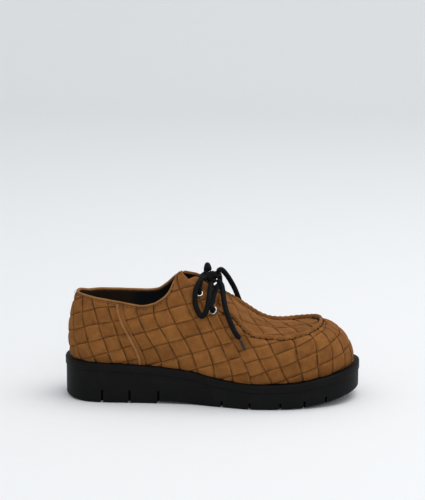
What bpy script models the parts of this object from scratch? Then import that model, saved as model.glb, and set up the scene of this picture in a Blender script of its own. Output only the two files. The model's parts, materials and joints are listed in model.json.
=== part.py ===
"""Lace-up shoe: a woven upper with a raised toe seam, on a thick lugged sole.

Right foot, empty, standing on its sole. +X runs to the toe, +Y to the inner (medial) side and +Z up.
The origin is on the floor, under the middle of the sole. Lengths are in metres.

The shoe follows one skin, the outer surface of the last. A point of the skin has a station, from 0 at the
back of the heel to 1 at the tip of the toe, a level, 0 at the sole, 1 at the edge of the collar, facing or
toe seam and 2 on the middle line of the instep, and a side, -1 lateral or 1 medial.
"""
import math
from typing import NamedTuple

import bmesh
import bpy
import numpy as np
from mathutils import Matrix, Vector

# Sole
SOLE_LENGTH = 0.2952
HEEL_WIDTH = 0.0780
WAIST_WIDTH = 0.0760
BALL_WIDTH = 0.1085
HEEL_STACK = 0.0400
BALL_STACK = 0.0250
TOE_SPRING = 0.0115
BAND_THICKNESS = 0.0078
BAND_STEP = 0.0008
SOLE_BEVEL = 0.0012
TREAD_DEPTH = 0.0040
TREAD_BORDER = 0.0130
WAIST_LIFT = 0.0032
SLOT_WIDTH = 0.0021
SLOT_REACH = 0.0090
HEEL_SLOT_HEIGHT = 0.0130
TOE_SLOT_HEIGHT = 0.0065
LUG_LENGTH = 0.0160
LUG_WIDTH = 0.0260
LUG_SPREAD = 0.0161
LUG_TURN = math.radians(12)

# Upper
LEDGE = 0.0060
WALL = 0.0022
QUARTER_STEP = 0.0011
COLLAR_RISE = 0.0620
INSTEP_RISE = 0.0980
TOE_RISE = 0.0388
BACK_BULGE = 0.0080
SIDE_BULGE = 0.0060
TOE_BULGE = 0.0170
SEAM_HEIGHT = 0.0044
SEAM_WIDTH = 0.0032
SEAM_SUNK = 0.0012
BINDING_WIDTH = 0.0032
BINDING_HEIGHT = 0.0022
PIPING_RADIUS = 0.0011
TONGUE_THICKNESS = 0.0024
INSOLE_THICKNESS = 0.0030

# Eyelets and lace
EYELET_HOLE_RADIUS = 0.0026
EYELET_FLANGE_RADIUS = 0.0043
EYELET_BARREL_WALL = 0.0005
EYELET_HEIGHT = 0.0008
LACE_RADIUS = 0.0021
LACE_BEND = 0.0032
KNOT_RADIUS = 0.0064
TIP_RADIUS = 0.0013

# Clearance between touching pieces
GAP = 0.0003

# How far the rounded ends reach along the sole, and how square they are
HEEL_ROUND = 0.14
TOE_ROUND = 0.27
HEEL_SQUARE = 2.2
TOE_SQUARE = 2.35
EDGE_TOE_ROUND = 0.20

# From this station on the toe seam turns in, by this share of the sole's own turn at the tip
TOE_TURN_STATION = 0.80
TOE_TURN_SHARE = 0.60

# Stations of the seams, eyelets and tongue
PIPING_STATION = 0.254
CORNER_STATION = 0.515
QUARTER_STATION = 0.645
APRON_STATION = 0.650
TONGUE_BACK_STATION = 0.545
TONGUE_FRONT_STATION = 0.690
TONGUE_SLANT = 0.040

# Levels where the tongue's wings and the heel pipings start and end
TONGUE_WING_LEVEL = 0.80
PIPING_LEVELS = (0.030, 0.975)

# Shares of the crown over which a bar of lace comes down from the facing to the tongue
BAR_DROP_START = 0.12
BAR_DROP_LENGTH = 0.60

SIDES = {"lateral": -1, "medial": 1}


class Eyelet(NamedTuple):
    """Where an eyelet sits on the facing: its station and how far it lies below the facing's edge."""

    station: float
    inset: float


EYELETS = {"upper": Eyelet(0.583, 0.0082), "lower": Eyelet(0.628, 0.0125)}


class SoleRow(NamedTuple):
    """Plan and heights of the sole at one share of its length."""

    along: float
    width: float
    centre: float
    top: float
    bottom: float


SOLE_ROWS = (
    SoleRow(0.00, 1.000 * HEEL_WIDTH, 0.000, 1.020 * HEEL_STACK, 0.25 * TOE_SPRING),
    SoleRow(0.06, 1.000 * HEEL_WIDTH, 0.000, 1.010 * HEEL_STACK, 0.03 * TOE_SPRING),
    SoleRow(0.10, 1.000 * HEEL_WIDTH, 0.000, 1.005 * HEEL_STACK, 0.00 * TOE_SPRING),
    SoleRow(0.18, 1.000 * HEEL_WIDTH, -0.003 * BALL_WIDTH, 0.990 * HEEL_STACK, 0.00 * TOE_SPRING),
    SoleRow(0.30, 1.000 * WAIST_WIDTH, -0.015 * BALL_WIDTH, 0.945 * HEEL_STACK, 0.00 * TOE_SPRING),
    SoleRow(0.42, 1.010 * WAIST_WIDTH, -0.030 * BALL_WIDTH, 0.850 * HEEL_STACK, 0.00 * TOE_SPRING),
    SoleRow(0.54, 0.840 * BALL_WIDTH, -0.040 * BALL_WIDTH, 1.100 * BALL_STACK, 0.00 * TOE_SPRING),
    SoleRow(0.66, 0.985 * BALL_WIDTH, -0.036 * BALL_WIDTH, 0.990 * BALL_STACK, 0.00 * TOE_SPRING),
    SoleRow(0.76, 1.000 * BALL_WIDTH, -0.014 * BALL_WIDTH, 1.020 * BALL_STACK, 0.04 * TOE_SPRING),
    SoleRow(0.88, 1.000 * BALL_WIDTH, 0.030 * BALL_WIDTH, 1.000 * BALL_STACK + 0.42 * TOE_SPRING,
            0.34 * TOE_SPRING),
    SoleRow(1.00, 1.000 * BALL_WIDTH, 0.065 * BALL_WIDTH, 1.000 * BALL_STACK + 1.03 * TOE_SPRING,
            1.00 * TOE_SPRING),
)


class EdgeRow(NamedTuple):
    """The edge of collar, facing and toe seam: along, out from the middle and up from the sole."""

    station: float
    lateral_along: float
    lateral_out: float
    lateral_rise: float
    medial_along: float
    medial_out: float
    medial_rise: float


def edge_row(station, lateral, medial, rise):
    """Turn shares of the sole's length and ball width and of one rise into lengths."""
    scale = (SOLE_LENGTH, BALL_WIDTH, rise)
    return EdgeRow(station, *(a * b for a, b in zip(lateral, scale)), *(a * b for a, b in zip(medial, scale)))


EDGE_ROWS = (
    edge_row(0.000, (-0.459, 0.230, 1.015), (-0.459, 0.230, 1.015), COLLAR_RISE),
    edge_row(0.042, (-0.425, 0.230, 1.010), (-0.425, 0.230, 0.965), COLLAR_RISE),
    edge_row(0.160, (-0.367, 0.260, 0.995), (-0.367, 0.260, 0.960), COLLAR_RISE),
    edge_row(0.254, (-0.312, 0.290, 0.983), (-0.312, 0.288, 0.965), COLLAR_RISE),
    edge_row(0.340, (-0.236, 0.300, 0.955), (-0.236, 0.295, 0.985), COLLAR_RISE),
    edge_row(0.392, (-0.192, 0.287, 1.010), (-0.192, 0.285, 1.035), COLLAR_RISE),
    edge_row(0.440, (-0.157, 0.250, 1.125), (-0.157, 0.250, 1.180), COLLAR_RISE),
    edge_row(0.475, (-0.135, 0.208, 0.800), (-0.130, 0.205, 0.850), INSTEP_RISE),
    edge_row(0.500, (-0.121, 0.157, 0.910), (-0.113, 0.160, 0.910), INSTEP_RISE),
    edge_row(0.530, (-0.106, 0.106, 1.015), (-0.090, 0.120, 0.965), INSTEP_RISE),
    edge_row(0.555, (-0.078, 0.115, 0.945), (-0.059, 0.105, 0.960), INSTEP_RISE),
    edge_row(0.598, (-0.026, 0.124, 0.850), (-0.018, 0.130, 0.895), INSTEP_RISE),
    edge_row(0.620, (-0.004, 0.160, 0.795), (0.005, 0.157, 0.830), INSTEP_RISE),
    edge_row(0.645, (0.022, 0.240, 0.712), (0.028, 0.210, 0.752), INSTEP_RISE),
    edge_row(0.690, (0.078, 0.304, 0.627), (0.078, 0.276, 0.645), INSTEP_RISE),
    edge_row(0.721, (0.112, 0.360, 1.310), (0.112, 0.313, 1.430), TOE_RISE),
    edge_row(0.763, (0.154, 0.387, 1.134), (0.154, 0.341, 1.200), TOE_RISE),
    edge_row(0.809, (0.202, 0.390, 1.072), (0.202, 0.352, 1.055), TOE_RISE),
    edge_row(0.859, (0.254, 0.387, 1.000), (0.254, 0.365, 1.005), TOE_RISE),
    edge_row(0.905, (0.299, 0.375, 1.000), (0.299, 0.375, 1.000), TOE_RISE),
    edge_row(0.950, (0.337, 0.355, 1.000), (0.337, 0.375, 0.995), TOE_RISE),
    edge_row(1.000, (0.369, 0.345, 1.000), (0.369, 0.345, 1.000), TOE_RISE),
)


class WallRow(NamedTuple):
    """Handles that bow the wall between sole and edge: each goes out by a length and up by a share."""

    station: float
    low_out: float
    low_up: float
    high_out: float
    high_up: float


WALL_ROWS = (
    WallRow(0.00, 0.50 * BACK_BULGE, 0.35, 1.00 * BACK_BULGE, -0.38),
    WallRow(0.20, 1.00 * SIDE_BULGE, 0.32, 1.30 * SIDE_BULGE, -0.36),
    WallRow(0.34, 0.85 * SIDE_BULGE, 0.32, 1.00 * SIDE_BULGE, -0.34),
    WallRow(0.50, 0.50 * SIDE_BULGE, 0.34, 0.85 * TOE_BULGE, -0.16),
    WallRow(0.62, 0.55 * SIDE_BULGE, 0.34, 1.00 * TOE_BULGE, -0.12),
    WallRow(0.72, 0.70 * SIDE_BULGE, 0.36, 0.75 * TOE_BULGE, -0.05),
    WallRow(0.86, 0.70 * SIDE_BULGE, 0.40, 0.90 * TOE_BULGE, 0.03),
    WallRow(1.00, 0.35 * SIDE_BULGE, 0.42, 1.05 * TOE_BULGE, 0.04),
)


class CrestRow(NamedTuple):
    """The middle line of instep and toe: along, across and up from the sole."""

    station: float
    along: float
    across: float
    rise: float


CREST_ROWS = (
    CrestRow(0.500, -0.112 * SOLE_LENGTH, 0.000 * BALL_WIDTH, 1.020 * INSTEP_RISE),
    CrestRow(0.530, -0.090 * SOLE_LENGTH, 0.010 * BALL_WIDTH, 1.020 * INSTEP_RISE),
    CrestRow(0.555, -0.060 * SOLE_LENGTH, 0.015 * BALL_WIDTH, 1.000 * INSTEP_RISE),
    CrestRow(0.598, -0.020 * SOLE_LENGTH, 0.020 * BALL_WIDTH, 0.935 * INSTEP_RISE),
    CrestRow(0.620, 0.006 * SOLE_LENGTH, 0.020 * BALL_WIDTH, 0.880 * INSTEP_RISE),
    CrestRow(0.645, 0.034 * SOLE_LENGTH, 0.010 * BALL_WIDTH, 0.815 * INSTEP_RISE),
    CrestRow(0.690, 0.075 * SOLE_LENGTH, 0.000 * BALL_WIDTH, 0.725 * INSTEP_RISE),
    CrestRow(0.721, 0.106 * SOLE_LENGTH, -0.010 * BALL_WIDTH, 1.600 * TOE_RISE),
    CrestRow(0.763, 0.144 * SOLE_LENGTH, -0.010 * BALL_WIDTH, 1.380 * TOE_RISE),
    CrestRow(0.809, 0.184 * SOLE_LENGTH, -0.010 * BALL_WIDTH, 1.230 * TOE_RISE),
    CrestRow(0.859, 0.228 * SOLE_LENGTH, 0.000 * BALL_WIDTH, 1.120 * TOE_RISE),
    CrestRow(0.905, 0.262 * SOLE_LENGTH, 0.010 * BALL_WIDTH, 1.060 * TOE_RISE),
    CrestRow(0.950, 0.287 * SOLE_LENGTH, 0.020 * BALL_WIDTH, 1.000 * TOE_RISE),
    CrestRow(1.000, 0.306 * SOLE_LENGTH, 0.030 * BALL_WIDTH, 0.950 * TOE_RISE),
)

UP = np.array([0.0, 0.0, 1.0])


def read(rows, column, at):
    """Read a column of a table at any place, on a smooth curve that never overshoots its rows."""
    place = np.array([row[0] for row in rows])
    value = np.array([getattr(row, column) for row in rows])
    at = np.clip(np.asarray(at, float), place[0], place[-1])
    step = np.diff(place)
    slope = np.diff(value) / step
    tangent = np.empty_like(value)
    tangent[0], tangent[-1] = slope[0], slope[-1]
    product = slope[:-1] * slope[1:]
    total = slope[:-1] + slope[1:]
    tangent[1:-1] = np.where(product > 0, 2 * product / np.where(total == 0, 1, total), 0)
    i = np.clip(np.searchsorted(place, at) - 1, 0, len(place) - 2)
    t = (at - place[i]) / step[i]
    start = (2 * t**3 - 3 * t**2 + 1) * value[i] + (t**3 - 2 * t**2 + t) * step[i] * tangent[i]
    end = (3 * t**2 - 2 * t**3) * value[i + 1] + (t**3 - t**2) * step[i] * tangent[i + 1]
    return start + end


def roundness(at, heel=HEEL_ROUND, toe=TOE_ROUND):
    """Share of the half width that is left as the outline closes round the heel and the toe."""
    back = np.clip((heel - np.asarray(at, float)) / heel, 0, 1)
    front = np.clip((np.asarray(at, float) - 1 + toe) / toe, 0, 1)
    return (1 - back**HEEL_SQUARE) ** (1 / HEEL_SQUARE) * (1 - front**TOE_SQUARE) ** (1 / TOE_SQUARE)


def drawn_edge(at, side, inset):
    """Plan of the sole's edge about the line from heel to toe, drawn in by an inset."""
    half = (read(SOLE_ROWS, "width", at) / 2 - inset) * roundness(at)
    x = inset - SOLE_LENGTH / 2 + (SOLE_LENGTH - 2 * inset) * np.asarray(at, float)
    return x, read(SOLE_ROWS, "centre", at) + side * half


def middle_shift():
    """How far the plan moves sideways to lie centred on the origin."""
    at = np.linspace(0, 1, 201)
    return -(drawn_edge(at, -1, 0.0)[1].min() + drawn_edge(at, 1, 0.0)[1].max()) / 2


SHIFT = middle_shift()


def sole_edge(at, side, inset=0.0):
    """Plan of the sole's edge, x and y, centred on the origin and drawn in by an inset."""
    x, y = drawn_edge(at, side, inset)
    return x, y + SHIFT


def sole_height(column, x):
    """Height of the sole's top or bottom above the floor at x."""
    return read(SOLE_ROWS, column, np.asarray(x) / SOLE_LENGTH + 0.5)


def foot_line(station, side):
    """Where the upper meets the sole."""
    x, y = sole_edge(station, side, LEDGE)
    return np.stack([x, y, sole_height("top", x) + 2 * GAP], -1)


def outward(station, side):
    """Level direction out of the sole's outline."""
    step = 1e-3
    before = foot_line(np.clip(station - step, 0, 1), side)
    after = foot_line(np.clip(station + step, 0, 1), side)
    x = (after - before)[..., 1] * -side
    y = (after - before)[..., 0] * side
    back, front = station <= step, station >= 1 - step
    x = np.where(back, -1.0, np.where(front, 1.0, x))
    y = np.where(back | front, 0.0, y)
    return np.stack([x, y, 0 * x], -1) / np.hypot(x, y)[..., None]


def edge_line(station, side):
    """Edge of the collar, then of the facing, then the line of the toe seam."""
    name = "lateral" if side < 0 else "medial"
    turn_share = np.clip((station - TOE_TURN_STATION) / (1 - TOE_TURN_STATION), 0, 1)
    toe_turn = TOE_TURN_SHARE * SOLE_ROWS[-1].centre * turn_share**2
    out = read(EDGE_ROWS, name + "_out", station) * roundness(station, HEEL_ROUND, EDGE_TOE_ROUND)
    height = foot_line(station, side)[..., 2] + read(EDGE_ROWS, name + "_rise", station)
    return np.stack([read(EDGE_ROWS, name + "_along", station), side * out + toe_turn + SHIFT, height], -1)


def crest_line(station):
    """Middle line of the instep and toe."""
    base = foot_line(station, 1)[..., 2]
    return np.stack([read(CREST_ROWS, "along", station), read(CREST_ROWS, "across", station) + SHIFT,
                     base + read(CREST_ROWS, "rise", station)], -1)


def skin(station, level, side):
    """Point of the skin: a bowed wall up to level 1, then a low crown over the foot up to level 2."""
    station, level = np.broadcast_arrays(np.asarray(station, float), np.asarray(level, float))
    low, high = foot_line(station, side), edge_line(station, side)
    out = outward(station, side)
    rise = (high - low)[..., 2]
    handles = [base + out * read(WALL_ROWS, name + "_out", station)[..., None]
               + UP * (read(WALL_ROWS, name + "_up", station) * rise)[..., None]
               for base, name in ((low, "low"), (high, "high"))]
    v = np.clip(level, 0, 1)[..., None]
    wall = ((1 - v) ** 3 * low + 3 * (1 - v) ** 2 * v * handles[0]
            + 3 * (1 - v) * v**2 * handles[1] + v**3 * high)
    w = np.clip(level - 1, 0, 1)[..., None]
    reach = crest_line(station) - high
    crown = reach * w
    crown[..., 2] = reach[..., 2] * (1 - (1 - w[..., 0]) ** 2)
    return wall + crown


def skin_normal(station, level, side):
    """Unit direction out of the skin, from neighbouring points."""
    step = 1e-4
    station, level = np.broadcast_arrays(np.asarray(station, float), np.asarray(level, float))
    along = (skin(np.clip(station + step, 0, 1), level, side)
             - skin(np.clip(station - step, 0, 1), level, side))
    up = skin(station, np.clip(level + step, 0, 2), side) - skin(station, np.clip(level - step, 0, 2), side)
    across = np.cross(along, up) * -side
    return across / np.linalg.norm(across, axis=-1, keepdims=True)


def level_at(station, side, inset):
    """Level of the point that lies an inset below the edge, measured along the skin."""
    level = np.linspace(0.4, 1.0, 61)
    points = skin(station, level, side)
    length = np.concatenate([[0], np.cumsum(np.linalg.norm(np.diff(points, axis=0), axis=1))])
    return float(np.interp(length[-1] - inset, length, level))


def heel_turn(count):
    """Stations round the heel, evenly spaced on the outline."""
    return HEEL_ROUND * (1 - np.cos(np.linspace(0, math.pi / 2, count + 1)[:-1]))


def toe_turn_stations(count):
    """Stations round the toe, evenly spaced on the outline."""
    return 1 - TOE_ROUND * (1 - np.cos(np.linspace(math.pi / 2, 0, count + 1)))


def outline_stations():
    """Stations of the sole's outline, closer together round heel and toe."""
    middle = np.linspace(HEEL_ROUND, 1 - TOE_ROUND, 15)[:-1]
    return np.concatenate([heel_turn(9), middle, toe_turn_stations(11)])


def upper_stations():
    """Stations of the upper, with a pair at the quarter's front edge, where the wall steps down."""
    back = np.linspace(HEEL_ROUND, QUARTER_STATION - 0.002, 25)
    front = np.linspace(QUARTER_STATION + 0.002, 1 - TOE_ROUND, 4)[:-1]
    return np.concatenate([heel_turn(8), back, front, toe_turn_stations(11)])


def material(name, colour, roughness, metallic=0.0):
    """Make a plain surface."""
    made = bpy.data.materials.new(name)
    made.use_nodes = True
    shader = made.node_tree.nodes["Principled BSDF"]
    shader.inputs["Base Color"].default_value = (*colour, 1.0)
    shader.inputs["Roughness"].default_value = roughness
    shader.inputs["Metallic"].default_value = metallic
    made.diffuse_color = (*colour, 1.0)
    return made


def finish(mesh, name, collection, surface=None):
    """Put a mesh in the scene as a smooth object with its own material."""
    thing = bpy.data.objects.new(name, mesh)
    collection.objects.link(thing)
    if surface:
        mesh.materials.append(surface)
        mesh.shade_smooth()
        mesh.set_sharp_from_angle(angle=math.radians(40))
    else:
        thing.hide_render = True
        thing.display_type = "WIRE"
    return thing


def closed_mesh(name, grids):
    """Join grids of points into one mesh, merge the points they share and turn its faces out."""
    shape = bmesh.new()
    for grid in grids:
        points = [[shape.verts.new(point) for point in row] for row in grid]
        for low, high in zip(points, points[1:]):
            for a, b, c, d in zip(low, low[1:], high[1:], high):
                shape.faces.new((a, b, c, d))
    bmesh.ops.remove_doubles(shape, verts=shape.verts, dist=1e-6)
    bmesh.ops.dissolve_degenerate(shape, edges=shape.edges, dist=1e-7)
    bmesh.ops.recalc_face_normals(shape, faces=shape.faces)
    mesh = bpy.data.meshes.new(name)
    shape.to_mesh(mesh)
    shape.free()
    return mesh


def slab(name, levels, stations):
    """Loft a sole layer through (inset, height function) pairs, its ends closed by level strips."""
    rings = []
    for inset, height in levels:
        sides = []
        for side in SIDES.values():
            x, y = sole_edge(stations, side, inset)
            sides.append(np.stack([x, y, height(x)], -1))
        rings.append(sides)
    walls = [[ring[i] for ring in rings] for i in range(2)]
    caps = [[ring[0], ring[1]] for ring in (rings[0], rings[-1])]
    return closed_mesh(name, walls + caps)


def sweep(name, path, width_way, height_way, section):
    """Carry a closed section along a path; its points are shares (across, up) in metres."""
    loop = section + section[:1]
    rings = [path + width_way * across + height_way * up for across, up in loop]
    ends = [[np.repeat(path[[i]], len(loop), axis=0), np.array([ring[i] for ring in rings])]
            for i in (0, -1)]
    return closed_mesh(name, [rings] + ends)


def boolean(thing, operation, cutters):
    """Cut or join a whole collection of cutters."""
    change = thing.modifiers.new(operation.lower(), "BOOLEAN")
    change.operation = operation
    change.operand_type = "COLLECTION"
    change.collection = cutters
    change.solver = "EXACT"


def cutter_group(name, parent):
    """Make a collection for cutters."""
    group = bpy.data.collections.new(name)
    parent.children.link(group)
    return group


def block(name, size, place, turn, collection):
    """Make a box cutter, turned about Z."""
    shape = bmesh.new()
    bmesh.ops.create_cube(shape, size=1.0)
    bmesh.ops.scale(shape, vec=Vector(size), verts=shape.verts)
    bmesh.ops.transform(shape, matrix=Matrix.Translation(place) @ Matrix.Rotation(turn, 4, "Z"),
                        verts=shape.verts)
    mesh = bpy.data.meshes.new(name)
    shape.to_mesh(mesh)
    shape.free()
    return finish(mesh, name, collection)


def tube(name, points, radius, collection, surface):
    """Make a closed round tube along points."""
    curve = bpy.data.curves.new(name, "CURVE")
    curve.dimensions = "3D"
    curve.bevel_depth = radius
    curve.bevel_resolution = 2
    curve.use_fill_caps = True
    spline = curve.splines.new("POLY")
    spline.points.add(len(points) - 1)
    for spot, place in zip(spline.points, points):
        spot.co = (*place, 1.0)
    curve.materials.append(surface)
    thing = bpy.data.objects.new(name, curve)
    collection.objects.link(thing)
    return thing


def smooth_route(points, spacing):
    """Read evenly spaced points from a smooth curve through a route's own points."""
    points = np.array(points, float)
    ends = np.vstack([2 * points[0] - points[1], points, 2 * points[-1] - points[-2]])
    t = np.linspace(0, 1, 16, endpoint=False)[:, None]
    runs = [0.5 * (2 * b + (c - a) * t + (2 * a - 5 * b + 4 * c - d) * t**2 + (3 * b - a - 3 * c + d) * t**3)
            for a, b, c, d in zip(ends, ends[1:], ends[2:], ends[3:])]
    fine = np.vstack(runs + [points[-1:]])
    length = np.concatenate([[0], np.cumsum(np.linalg.norm(np.diff(fine, axis=0), axis=1))])
    place = np.linspace(0, length[-1], max(2, round(length[-1] / spacing)) + 1)
    return np.stack([np.interp(place, length, fine[:, i]) for i in range(3)], -1)


def turned(name, profile, steps, matrix, collection, surface):
    """Turn a closed profile of (radius, height) points round its own axis."""
    mesh = bpy.data.meshes.new(name)
    count = len(profile)
    mesh.from_pydata([(r, 0, z) for r, z in profile], [(i, (i + 1) % count) for i in range(count)], [])
    thing = finish(mesh, name, collection, surface)
    thing.matrix_world = matrix
    screw = thing.modifiers.new("turn", "SCREW")
    screw.steps = screw.render_steps = steps
    screw.use_merge_vertices = True
    screw.merge_threshold = 1e-5
    return thing


def standing_frame(place, normal):
    """Matrix that sets Z along a normal at a place."""
    turn = Vector(normal).to_track_quat("Z", "Y").to_matrix().to_4x4()
    return Matrix.Translation(place) @ turn


def sole_x(along):
    """Turn a share of the sole's length into x."""
    return (along - 0.5) * SOLE_LENGTH


def under_band(x):
    """Top of the tread piece, just under the band."""
    return sole_height("top", x) - BAND_THICKNESS - GAP


# Edge slots as shares of the sole's length, and the lugs inside the border of the tread
BREAST = 0.3250
ARCH_END = 0.4900
HEEL_SLOTS = (0.1340, 0.2275, BREAST)
TOE_SLOTS = (0.5410, 0.6360, 0.7386, 0.8194, 0.8910)
HEEL_LUGS = (0.135, 0.230)
TOE_LUGS = (0.575, 0.655, 0.735, 0.815, 0.890)


def slot_cutters(group):
    """Boxes that cut the slots into both edges, the back of the heel and the tip of the toe."""
    slots = [(at, side, HEEL_SLOT_HEIGHT) for at in HEEL_SLOTS for side in SIDES.values()]
    slots += [(at, side, TOE_SLOT_HEIGHT) for at in TOE_SLOTS for side in SIDES.values()]
    slots += [(0.0, 1, HEEL_SLOT_HEIGHT), (1.0, 1, TOE_SLOT_HEIGHT)]
    for number, (at, side, height) in enumerate(slots):
        x, y = sole_edge(at, side, BAND_STEP)
        out = outward(np.array(at), side)
        place = (float(x), float(y), float(sole_height("bottom", x)))
        turn = math.atan2(out[1], out[0]) - math.pi / 2
        block(f"slot_{number}", (SLOT_WIDTH, 2 * SLOT_REACH, 2 * height), place, turn, group)


def arch_cutter(group):
    """Cut the hollow of the waist: steep at the heel's breast, running out before the ball."""
    share = np.linspace(0, 1, 9)
    x = sole_x(BREAST + (ARCH_END - BREAST) * share)
    roof = sole_height("bottom", x) + WAIST_LIFT * (1 - share**1.5)
    walls = []
    for y in (-BALL_WIDTH, BALL_WIDTH):
        walls.append([np.stack([x, np.full_like(x, y), np.full_like(x, -BALL_STACK)], -1),
                      np.stack([x, np.full_like(x, y), roof], -1)])
    caps = [[walls[0][i], walls[1][i]] for i in range(2)]
    ends = [[[wall[i][j] for i in range(2)] for wall in walls] for j in (0, -1)]
    finish(closed_mesh("arch", walls + caps + ends), "arch", group)


def tread_cutter(group, lugs):
    """Cut the hollow inside the tread's border and leave the waist and the middle lugs standing."""
    floor = [(TREAD_BORDER, lambda x: np.full_like(x, -BALL_STACK)),
             (TREAD_BORDER, lambda x: sole_height("bottom", x) + TREAD_DEPTH)]
    hollow = finish(slab("tread", floor, outline_stations()), "tread", group)
    depth = 4 * BALL_STACK
    waist_length = (TOE_SLOTS[0] - BREAST) * SOLE_LENGTH + SLOT_REACH
    block("waist", (waist_length, BALL_WIDTH, depth), (sole_x((TOE_SLOTS[0] + BREAST) / 2), 0, 0), 0, lugs)
    for at in HEEL_LUGS:
        block(f"heel_lug_{at}", (LUG_LENGTH, LUG_WIDTH, depth), (sole_x(at), 0, 0), 0, lugs)
    for at in TOE_LUGS:
        middle = float(read(SOLE_ROWS, "centre", at)) + SHIFT
        for side in SIDES.values():
            place = (sole_x(at), middle + side * LUG_SPREAD, 0)
            block(f"toe_lug_{at}_{side}", (LUG_LENGTH, LUG_WIDTH, depth), place, side * LUG_TURN, lugs)
    boolean(hollow, "DIFFERENCE", lugs)


def make_sole(shoe, cutters, rubber, lining):
    """Make the treaded bottom, the band over it and the insole."""
    stations = outline_stations()
    tread = [(BAND_STEP + SOLE_BEVEL, lambda x: sole_height("bottom", x)),
             (BAND_STEP, lambda x: sole_height("bottom", x) + SOLE_BEVEL),
             (BAND_STEP, under_band)]
    outsole = finish(slab("outsole", tread, stations), "outsole", shoe, rubber)
    cuts = cutter_group("sole_cutters", cutters)
    slot_cutters(cuts)
    arch_cutter(cuts)
    tread_cutter(cuts, cutter_group("lugs", cutters))
    boolean(outsole, "DIFFERENCE", cuts)

    band = [(0.0, lambda x: sole_height("top", x) - BAND_THICKNESS),
            (0.0, lambda x: sole_height("top", x) - SOLE_BEVEL),
            (SOLE_BEVEL, lambda x: sole_height("top", x))]
    finish(slab("midsole", band, stations), "midsole", shoe, rubber)

    inset = LEDGE + WALL + 2 * GAP
    inside = [(inset, lambda x: sole_height("top", x) + GAP),
              (inset, lambda x: sole_height("top", x) + GAP + INSOLE_THICKNESS)]
    finish(slab("insole", inside, stations), "insole", shoe, lining)


def raised_skin(stations, levels, side):
    """Skin of the upper, with the quarter and heel standing a step above the vamp."""
    step = np.where(stations < QUARTER_STATION, QUARTER_STEP, 0.0)
    normal = skin_normal(stations, levels, side)
    return skin(stations, levels, side) + normal * (step + 0 * levels)[..., None]


def toe_seam(group):
    """Make the upright seam that runs round the toe where the vamp meets the apron."""
    run = np.concatenate([np.linspace(APRON_STATION, 1 - TOE_ROUND, 5)[:-1], toe_turn_stations(13)])
    lateral = skin(run, 1.0, SIDES["lateral"])
    medial = skin(run, 1.0, SIDES["medial"])[::-1][1:]
    path = np.vstack([lateral, medial])
    up = np.vstack([skin_normal(run, 1.0, SIDES["lateral"]), skin_normal(run, 1.0, SIDES["medial"])[::-1][1:]])
    along = np.gradient(path, axis=0)
    across = np.cross(along, up)
    across /= np.linalg.norm(across, axis=-1, keepdims=True)
    half = SEAM_WIDTH / 2
    section = [(-half, -SEAM_SUNK), (half, -SEAM_SUNK), (half, 0.7 * SEAM_HEIGHT), (0.5 * half, SEAM_HEIGHT),
               (-0.5 * half, SEAM_HEIGHT), (-half, 0.7 * SEAM_HEIGHT)]
    finish(sweep("toe_seam", path, across, up, section), "toe_seam", group)


def eyelet_seat(kind, side):
    """Place, outward normal and way to the edge of an eyelet, on a plane that clears the skin under it."""
    station, inset = EYELETS[kind]
    level = level_at(station, side, inset)
    middle = skin(station, level, side)
    way = skin(station, level + 0.01, side) - middle
    along = skin(station + 0.01, level, side) - middle
    up_step = 0.01 * EYELET_FLANGE_RADIUS / np.linalg.norm(way)
    along_step = 0.01 * EYELET_FLANGE_RADIUS / np.linalg.norm(along)
    angles = np.linspace(0, 2 * math.pi, 17)[:-1]
    rim = skin(station + along_step * np.cos(angles), level + up_step * np.sin(angles), side)
    normal = np.cross(rim[0] - rim[8], rim[4] - rim[12]) * -side
    normal /= np.linalg.norm(normal)
    highest = max(0.0, float(np.max((rim - middle) @ normal)))
    place = middle + normal * (QUARTER_STEP + highest + 2 * GAP)
    way -= normal * np.dot(way, normal)
    return place, normal, way / np.linalg.norm(way)


def make_upper(shoe, cutters, suede):
    """Make the upper: one wall, open at collar and throat and underneath, with its toe seam and holes."""
    stations = upper_stations()
    levels = np.linspace(0, 1, 14)
    front = stations[stations > QUARTER_STATION]
    crown = np.linspace(1, 2, 7)
    grids = []
    for side in SIDES.values():
        grids.append(raised_skin(stations[None, :], levels[:, None], side))
        grids.append(raised_skin(front[None, :], crown[:, None], side))
    upper = finish(closed_mesh("upper", grids), "upper", shoe, suede)
    wall = upper.modifiers.new("wall", "SOLIDIFY")
    wall.thickness = WALL
    wall.offset = -1
    wall.use_even_offset = True

    seam = cutter_group("upper_joined", cutters)
    toe_seam(seam)
    boolean(upper, "UNION", seam)

    holes = cutter_group("upper_cutters", cutters)
    radius = EYELET_HOLE_RADIUS + EYELET_BARREL_WALL + GAP
    for kind in EYELETS:
        for name, side in SIDES.items():
            place, normal, _ = eyelet_seat(kind, side)
            shape = bmesh.new()
            bmesh.ops.create_cone(shape, cap_ends=True, segments=20, radius1=radius, radius2=radius,
                                  depth=4 * WALL, matrix=standing_frame(place, normal))
            mesh = bpy.data.meshes.new("hole")
            shape.to_mesh(mesh)
            shape.free()
            finish(mesh, f"hole_{kind}_{name}", holes)
    boolean(upper, "DIFFERENCE", holes)


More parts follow.
